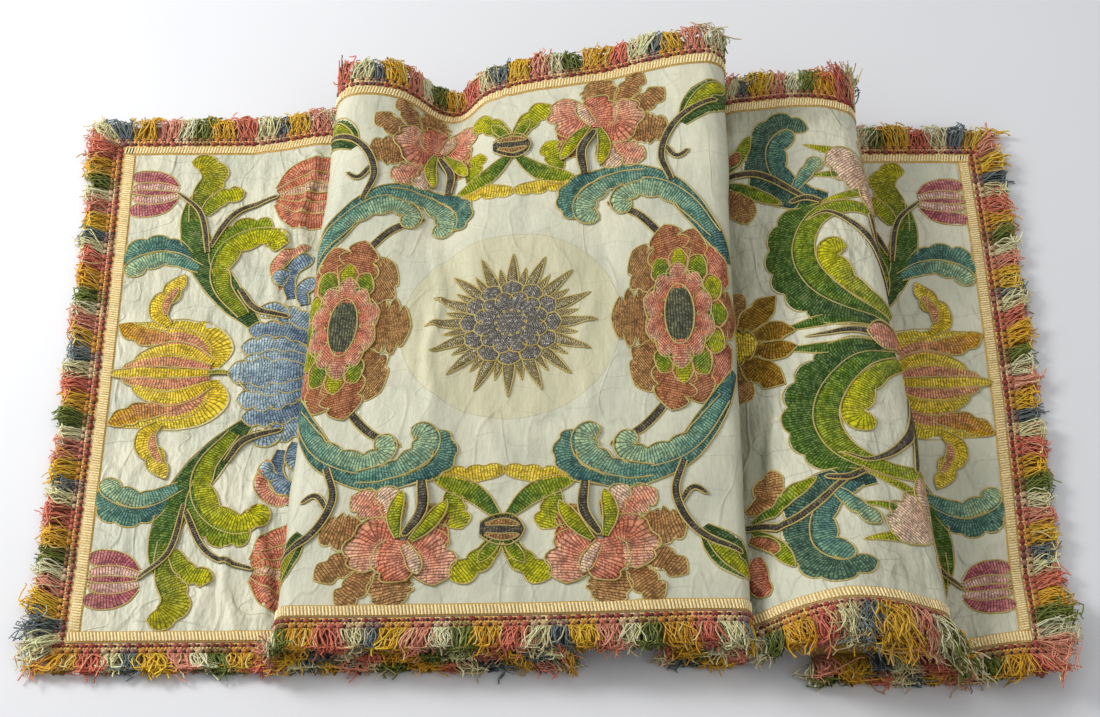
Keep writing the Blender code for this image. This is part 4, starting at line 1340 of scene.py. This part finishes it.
class Shader:
    """A material, with short calls that add and link its nodes."""

    def __init__(self, name, roughness, sheen=0.0, metallic=0.0, specular=0.35):
        self.material = bpy.data.materials.new(name)
        self.material.use_nodes = True
        self.tree = self.material.node_tree
        self.shader = self.tree.nodes["Principled BSDF"]
        steady = {
            "Roughness": roughness, "Metallic": metallic, "Specular IOR Level": specular,
            "Sheen Weight": sheen, "Sheen Roughness": 0.5,
        }
        for key, value in steady.items():
            self.shader.inputs[key].default_value = value

    def finish(self, colour, normal=None):
        """The material, with its shader given a colour and a bump."""
        self.feed(self.shader.inputs["Base Color"], colour)
        if normal is not None:
            self.feed(self.shader.inputs["Normal"], normal)
        return self.material

    def add(self, kind, inputs=None, **settings):
        """A node with its settings, and its inputs linked or set."""
        node = self.tree.nodes.new(kind)
        for key, value in settings.items():
            setattr(node, key, value)
        for key, value in (inputs or {}).items():
            self.feed(node.inputs[key], value)
        return node

    def feed(self, socket, value):
        """Links an output to a socket, or sets the socket's own value."""
        if isinstance(value, bpy.types.NodeSocket):
            self.tree.links.new(value, socket)
        else:
            socket.default_value = value

    def math(self, operation, first, second=0.0, third=0.0):
        """One sum of two or three numbers."""
        node = self.add("ShaderNodeMath", {0: first, 1: second, 2: third}, operation=operation)
        return node.outputs[0]

    def plus(self, first, second):
        """Two values added."""
        return self.math("ADD", first, second)

    def less(self, first, second):
        """The second value taken from the first."""
        return self.math("SUBTRACT", first, second)

    def times(self, first, second):
        """Two values multiplied."""
        return self.math("MULTIPLY", first, second)

    def over(self, first, second):
        """The first value divided by the second."""
        return self.math("DIVIDE", first, second)

    def wave(self, value):
        """Sine of a value in radians."""
        return self.math("SINE", value)

    def plain(self, value):
        """A value without its sign."""
        return self.math("ABSOLUTE", value)

    def vector(self, x, y):
        """A vector of two values."""
        return self.add("ShaderNodeCombineXYZ", {0: x, 1: y}).outputs[0]

    def flat(self):
        """The piece's flat coordinates: both, then each of the two."""
        both = self.add("ShaderNodeUVMap", uv_map="flat").outputs[0]
        split = self.add("ShaderNodeSeparateXYZ", {0: both})
        return both, split.outputs[0], split.outputs[1]

    def place(self):
        """Places in the piece's own coordinates."""
        return self.add("ShaderNodeTexCoord").outputs["Object"]

    def tint(self):
        """The colour attribute of a piece."""
        return self.add("ShaderNodeVertexColor", layer_name="tint").outputs["Color"]

    def noise(self, vector, scale, detail=2.0, rough=0.5):
        """Noise between about 0 and 1."""
        given = {"Vector": vector, "Scale": scale, "Detail": detail, "Roughness": rough}
        return self.add("ShaderNodeTexNoise", given).outputs["Fac"]

    def ridges(self, vector, scale, width):
        """Thin wandering lines, 1 along their middle."""
        away = self.plain(self.less(self.noise(vector, scale, 1.5), 0.5))
        return self.spread(away, 0.0, width, 1, 0)

    def spread(self, value, low, high, to_low=0.0, to_high=1.0):
        """A value moved from one range to another."""
        given = {0: value, 1: low, 2: high, 3: to_low, 4: to_high}
        return self.add("ShaderNodeMapRange", given).outputs[0]

    def mix(self, share, first, second, blend="MIX"):
        """Two colours mixed."""
        node = self.add("ShaderNodeMix", data_type="RGBA", blend_type=blend)
        for socket, value in ((0, share), (6, first), (7, second)):
            self.feed(node.inputs[socket], value)
        return node.outputs[2]

    def shaded(self, colour, factors):
        """A colour times three factors."""
        return self.mix(1.0, colour, (*factors, 1), "MULTIPLY")

    def vivid(self, colour, saturation, value):
        """A colour made stronger and lighter."""
        given = {"Color": colour, "Saturation": saturation, "Value": value}
        return self.add("ShaderNodeHueSaturation", given).outputs[0]

    def bump(self, height, strength, distance, below=None):
        """A bump, over another where given."""
        given = {"Height": height, "Strength": strength, "Distance": distance}
        if below is not None:
            given["Normal"] = below
        return self.add("ShaderNodeBump", given).outputs["Normal"]


# Waves in radians per metre along and across, radians in a turn, and sizes of the stitches
WEAVE_ALONG, WEAVE_BACK = 6283.0, 5100.0
FULL_TURN = 6.2832
STRAND_TURN = 12.566
STITCH_WIDTH = 0.0021
CORD_TWIST = 0.0024
CHEVRON_LENGTH, CHEVRON_HALF = 0.0036, 0.004


def silk_material():
    """Ivory silk, worn and stained: faint weave, small puckers, painted shade by fold C, a yellower
    round middle.
    """
    n = Shader("worn_silk", 0.42, specular=0.4)
    flat, u, v = n.flat()
    ivory, grey, faded = (0.650, 0.630, 0.465, 1), (0.510, 0.515, 0.395, 1), (0.40, 0.37, 0.26, 1)
    yellowed, seamed, soiled_and_shaded = (0.56, 0.50, 0.26, 1), (0.22, 0.19, 0.10, 1), (0.27, 0.265, 0.17, 1)
    stained, crease_line_dark = (0.30, 0.24, 0.13, 1), (0.27, 0.25, 0.17, 1)
    colour = n.mix(n.spread(n.noise(flat, 9.0, 4), 0.35, 0.7), ivory, grey)
    fine = n.spread(n.noise(flat, 120.0, 3), 0.3, 0.75)
    colour = n.mix(n.times(fine, 0.16), colour, faded)
    away = n.math("SQRT", n.plus(n.times(u, u), n.times(v, v)))
    inside = n.spread(away, MEDALLION_RADIUS + 0.002, MEDALLION_RADIUS - 0.002)
    colour = n.mix(n.times(inside, 0.45), colour, yellowed)
    seam = n.spread(n.plain(n.less(away, MEDALLION_RADIUS)), 0.0, 0.0013, 1, 0)
    colour = n.mix(n.times(seam, 0.35), colour, seamed)
    # Worn and dirty places, and painted shade on the layer beside fold C
    for mark in WEAR_AND_SHADE:
        across = n.over(n.less(u, mark.u), mark.wide)
        deep = n.over(n.less(v, mark.v), mark.deep)
        off = n.plus(n.times(across, across), n.times(deep, deep))
        off = n.plus(off, n.less(n.noise(flat, 22.0, 4), 0.5))
        colour = n.mix(n.spread(off, 1.0, 0.1, 0, mark.share), colour, soiled_and_shaded)
    stain = n.spread(n.noise(flat, 34.0, 5, 0.7), 0.66, 0.78)
    colour = n.mix(n.times(stain, 0.4), colour, stained)
    stretched, crossed = n.vector(n.times(u, 2.6), v), n.vector(u, n.times(v, 1.8))
    soft = n.noise(stretched, 14.0, 3, 0.55)
    ridge = n.plus(n.ridges(stretched, 5.0, 0.020), n.times(n.ridges(crossed, 9.0, 0.016), 0.6))
    # The silk is a little darker along the same wandering lines that its bump raises
    colour = n.mix(n.times(n.math("MINIMUM", ridge, 1.0), 0.15), colour, crease_line_dark)
    weave = n.plus(n.wave(n.times(u, WEAVE_ALONG)), n.wave(n.times(v, WEAVE_BACK)))
    calm = n.spread(n.plain(u), 0.32, 0.42, 0.40, 1.0)
    first = n.bump(n.times(soft, calm), 0.60, 0.016)
    second = n.bump(n.times(ridge, calm), 0.45, 0.0030, first)
    return n.finish(colour, n.bump(weave, 0.22, 0.0002, second))


def stitch_material():
    """Laid silk stitches in rows across each blade: mottled, with painted highlights on some
    stitches and painted shade between the rows, a little worn.
    """
    n = Shader("satin_stitch", 0.40, specular=0.3)
    _, along, across = n.flat()
    place = n.place()
    sway = n.times(n.less(n.noise(place, 55.0, 1), 0.5), 0.9)
    row = n.plus(n.over(along, STITCH_ROW), sway)
    in_row = n.math("FRACT", row)
    gap = n.spread(n.plain(n.less(in_row, 0.5)), 0.26, 0.5)
    slanted = n.plus(n.over(across, STITCH_WIDTH), n.times(in_row, 0.7))
    cell = n.vector(n.math("FLOOR", row), n.math("FLOOR", slanted))
    spot = n.add("ShaderNodeTexWhiteNoise", {"Vector": cell}, noise_dimensions="2D").outputs[0]
    tint = n.tint()
    dark = n.shaded(tint, (0.20, 0.21, 0.18))
    light = n.mix(0.13, n.shaded(tint, (1.75, 1.7, 1.5)), (0.95, 0.88, 0.60, 1))
    # Per-stitch flecks: partly thread-to-thread tone, partly painted highlights on single stitches
    colour = n.mix(n.spread(spot, 0.5, 1.0, 0, 0.8), tint, light)
    colour = n.mix(n.spread(spot, 0.45, 0.0, 0, 0.55), colour, dark)
    shade = n.noise(place, 75.0, 3, 0.6)
    colour = n.mix(n.spread(shade, 0.50, 0.28, 0, 0.55), colour, dark)
    colour = n.mix(n.spread(shade, 0.55, 0.75, 0, 0.5), colour, light)
    # Painted shade in the gaps between the stitch rows
    colour = n.mix(n.times(gap, 0.95), colour, dark)
    worn = n.spread(n.noise(place, 38.0, 5, 0.65), 0.62, 0.76)
    colour = n.mix(n.times(worn, 0.25), colour, (0.60, 0.52, 0.30, 1))
    strand = n.wave(n.times(slanted, STRAND_TURN))
    height = n.less(n.times(strand, 0.25), gap)
    return n.finish(n.vivid(colour, 1.12, 1.18), n.bump(height, 0.9, 0.0011))


def cord_material():
    """Couched gold-green cord with a twist."""
    n = Shader("couched_cord", 0.4, 0.1, 0.15, 0.5)
    _, along, across = n.flat()
    twist = n.wave(n.times(n.plus(n.over(along, CORD_TWIST), across), FULL_TURN))
    patch = n.spread(n.noise(n.place(), 45.0, 3), 0.4, 0.65)
    tint = n.mix(n.times(patch, 0.6), n.tint(), (0.70, 0.58, 0.24, 1))
    dark = n.shaded(tint, (0.30, 0.27, 0.20))
    colour = n.mix(n.spread(twist, -1, 1, 0, 0.7), tint, dark)
    return n.finish(colour, n.bump(twist, 0.5, 0.0004))


def metal_material():
    """Dulled silver and gold thread in short chevron stitches, with painted glints."""
    n = Shader("metal_thread", 0.45, 0.0, 0.25, 0.5)
    _, along, across = n.flat()
    side = n.plain(n.math("PINGPONG", across, CHEVRON_HALF))
    chevron = n.plus(n.over(along, CHEVRON_LENGTH), n.over(side, CHEVRON_HALF))
    band = n.wave(n.times(chevron, FULL_TURN))
    speck = n.noise(n.place(), 300.0, 4, 0.75)
    tint = n.tint()
    colour = n.mix(n.spread(band, -0.2, 0.5, 0, 0.85), tint, n.shaded(tint, (0.22, 0.21, 0.20)))
    # Painted glints: small pale specks where light would catch the metal thread
    painted_glint = n.spread(speck, 0.53, 0.64)
    colour = n.mix(n.times(painted_glint, 0.62), colour, (0.74, 0.69, 0.58, 1))
    return n.finish(colour, n.bump(n.plus(n.times(band, 0.5), speck), 0.7, 0.0009))


def thread_material(name, roughness, sheen):
    """Silk thread in its own colour, with small light and dark changes."""
    n = Shader(name, roughness, sheen)
    change = n.noise(n.place(), 420.0, 2)
    tint = n.tint()
    colour = n.mix(n.spread(change, 0.6, 0.35), tint, n.shaded(tint, (0.70, 0.66, 0.60)))
    return n.finish(colour, n.bump(change, 0.3, 0.0004))


# ---- Pieces

silk = silk_material()
stitched = stitch_material()
cord = cord_material()
metal = metal_material()
thread = thread_material("fringe_thread", 0.5, 0.05)
braid = thread_material("braid_thread", 0.45, 0.0)

cloth = cloth_sheet(silk)
embroidery = bags["silks"].make("embroidery", stitched)
outlines = bags["cords"].make("outline_cords", cord)
ornament = bags["metal"].make("centre_ornament", metal)
ornament_cords = bags["boss_cords"].make("centre_ornament_cords", cord)

trims = {}
for name in EDGES:
    bag = Bag()
    add_ribbon(
        bag, name, -GALLOON_WIDTH, -RIBBON_MARGIN, CLOTH_THICK / 2 + RIBBON_LIFT, RIBBON_DOME,
        lambda along: np.broadcast_to(RIBBON_GOLD, (len(along), 3)), RIBBON_STEP,
    )
    add_rungs(bag, name)
    trims["galloon_" + name] = bag.make("braid_" + name, braid)
for name in EDGES:
    bag = Bag()
    add_ribbon(
        bag, name, TRIM_FLOOR, HEADING_WIDTH, 0.0, HEADING_DOME,
        lambda along, name=name: block_colours(name, along) * HEADING_SHARE + HEADING_BASE,
        HEADING_STEP,
    )
    add_knots(bag, name)
    add_under_skirt_in_painted_shade(bag, name)
    add_threads(bag, name)
    trims["fringe_" + name] = bag.make("tufts_" + name, thread)

for node, piece in trims.items():
    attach(piece, "root")
    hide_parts(node)
for piece in (cloth, embroidery, outlines, ornament, ornament_cords):
    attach(piece, "root")
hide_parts("cloth")

# ---- Floor, lights and camera

def floor_material():
    """Plain pale table top."""
    n = Shader("pale_table", 0.85)
    change = n.noise(n.place(), 3.0, 2)
    return n.finish(n.mix(change, (0.72, 0.72, 0.735, 1), (0.75, 0.75, 0.765, 1)))


ground = bpy.data.meshes.new("table_top")
half = FLOOR_SIZE / 2
corners = [(-half, -half, 0), (half, -half, 0), (half, half, 0), (-half, half, 0)]
ground.from_pydata(corners, [], [(0, 1, 2, 3)])
ground.materials.append(floor_material())
table = add_object("table_top", ground)

Lamp = namedtuple("Lamp", "name place size power")
LAMPS = (
    Lamp("key", (-3.1, 1.3, 2.3), 1.3, 110.0),
    Lamp("left", (-1.9, 0.2, 1.0), 0.8, 9.0),
    Lamp("fill", (1.8, -1.4, 2.6), 2.6, 9.0),
    Lamp("top", (0.2, 1.2, 2.8), 2.4, 14.0),
)
SKY_COLOUR = (0.96, 0.98, 1.0, 1)
SKY_STRENGTH = 0.45


def add_lamps():
    """Soft lights that all look at the frontal, and a faint even sky."""
    for lamp in LAMPS:
        data = bpy.data.lights.new(lamp.name, "AREA")
        data.energy, data.size = lamp.power, lamp.size
        x, y, z = lamp.place
        made = add_object(lamp.name, data)
        made.location = lamp.place
        made.rotation_euler = (math.atan2(math.hypot(x, y), z), 0, math.atan2(y, x) + math.pi / 2)
    world = bpy.data.worlds.new("studio")
    world.use_nodes = True
    sky = world.node_tree.nodes["Background"]
    sky.inputs["Color"].default_value = SKY_COLOUR
    sky.inputs["Strength"].default_value = SKY_STRENGTH
    bpy.context.scene.world = world


add_lamps()
lens = bpy.data.cameras.new("camera")
lens.lens = CAMERA_LENS
lens.sensor_width = SENSOR_WIDTH
camera = add_object("camera", lens)
camera.location = CAMERA_PLACE
camera.rotation_euler = (CAMERA_TILT, 0, 0)
bpy.context.scene.camera = camera
bpy.context.scene.view_settings.view_transform = "Standard"
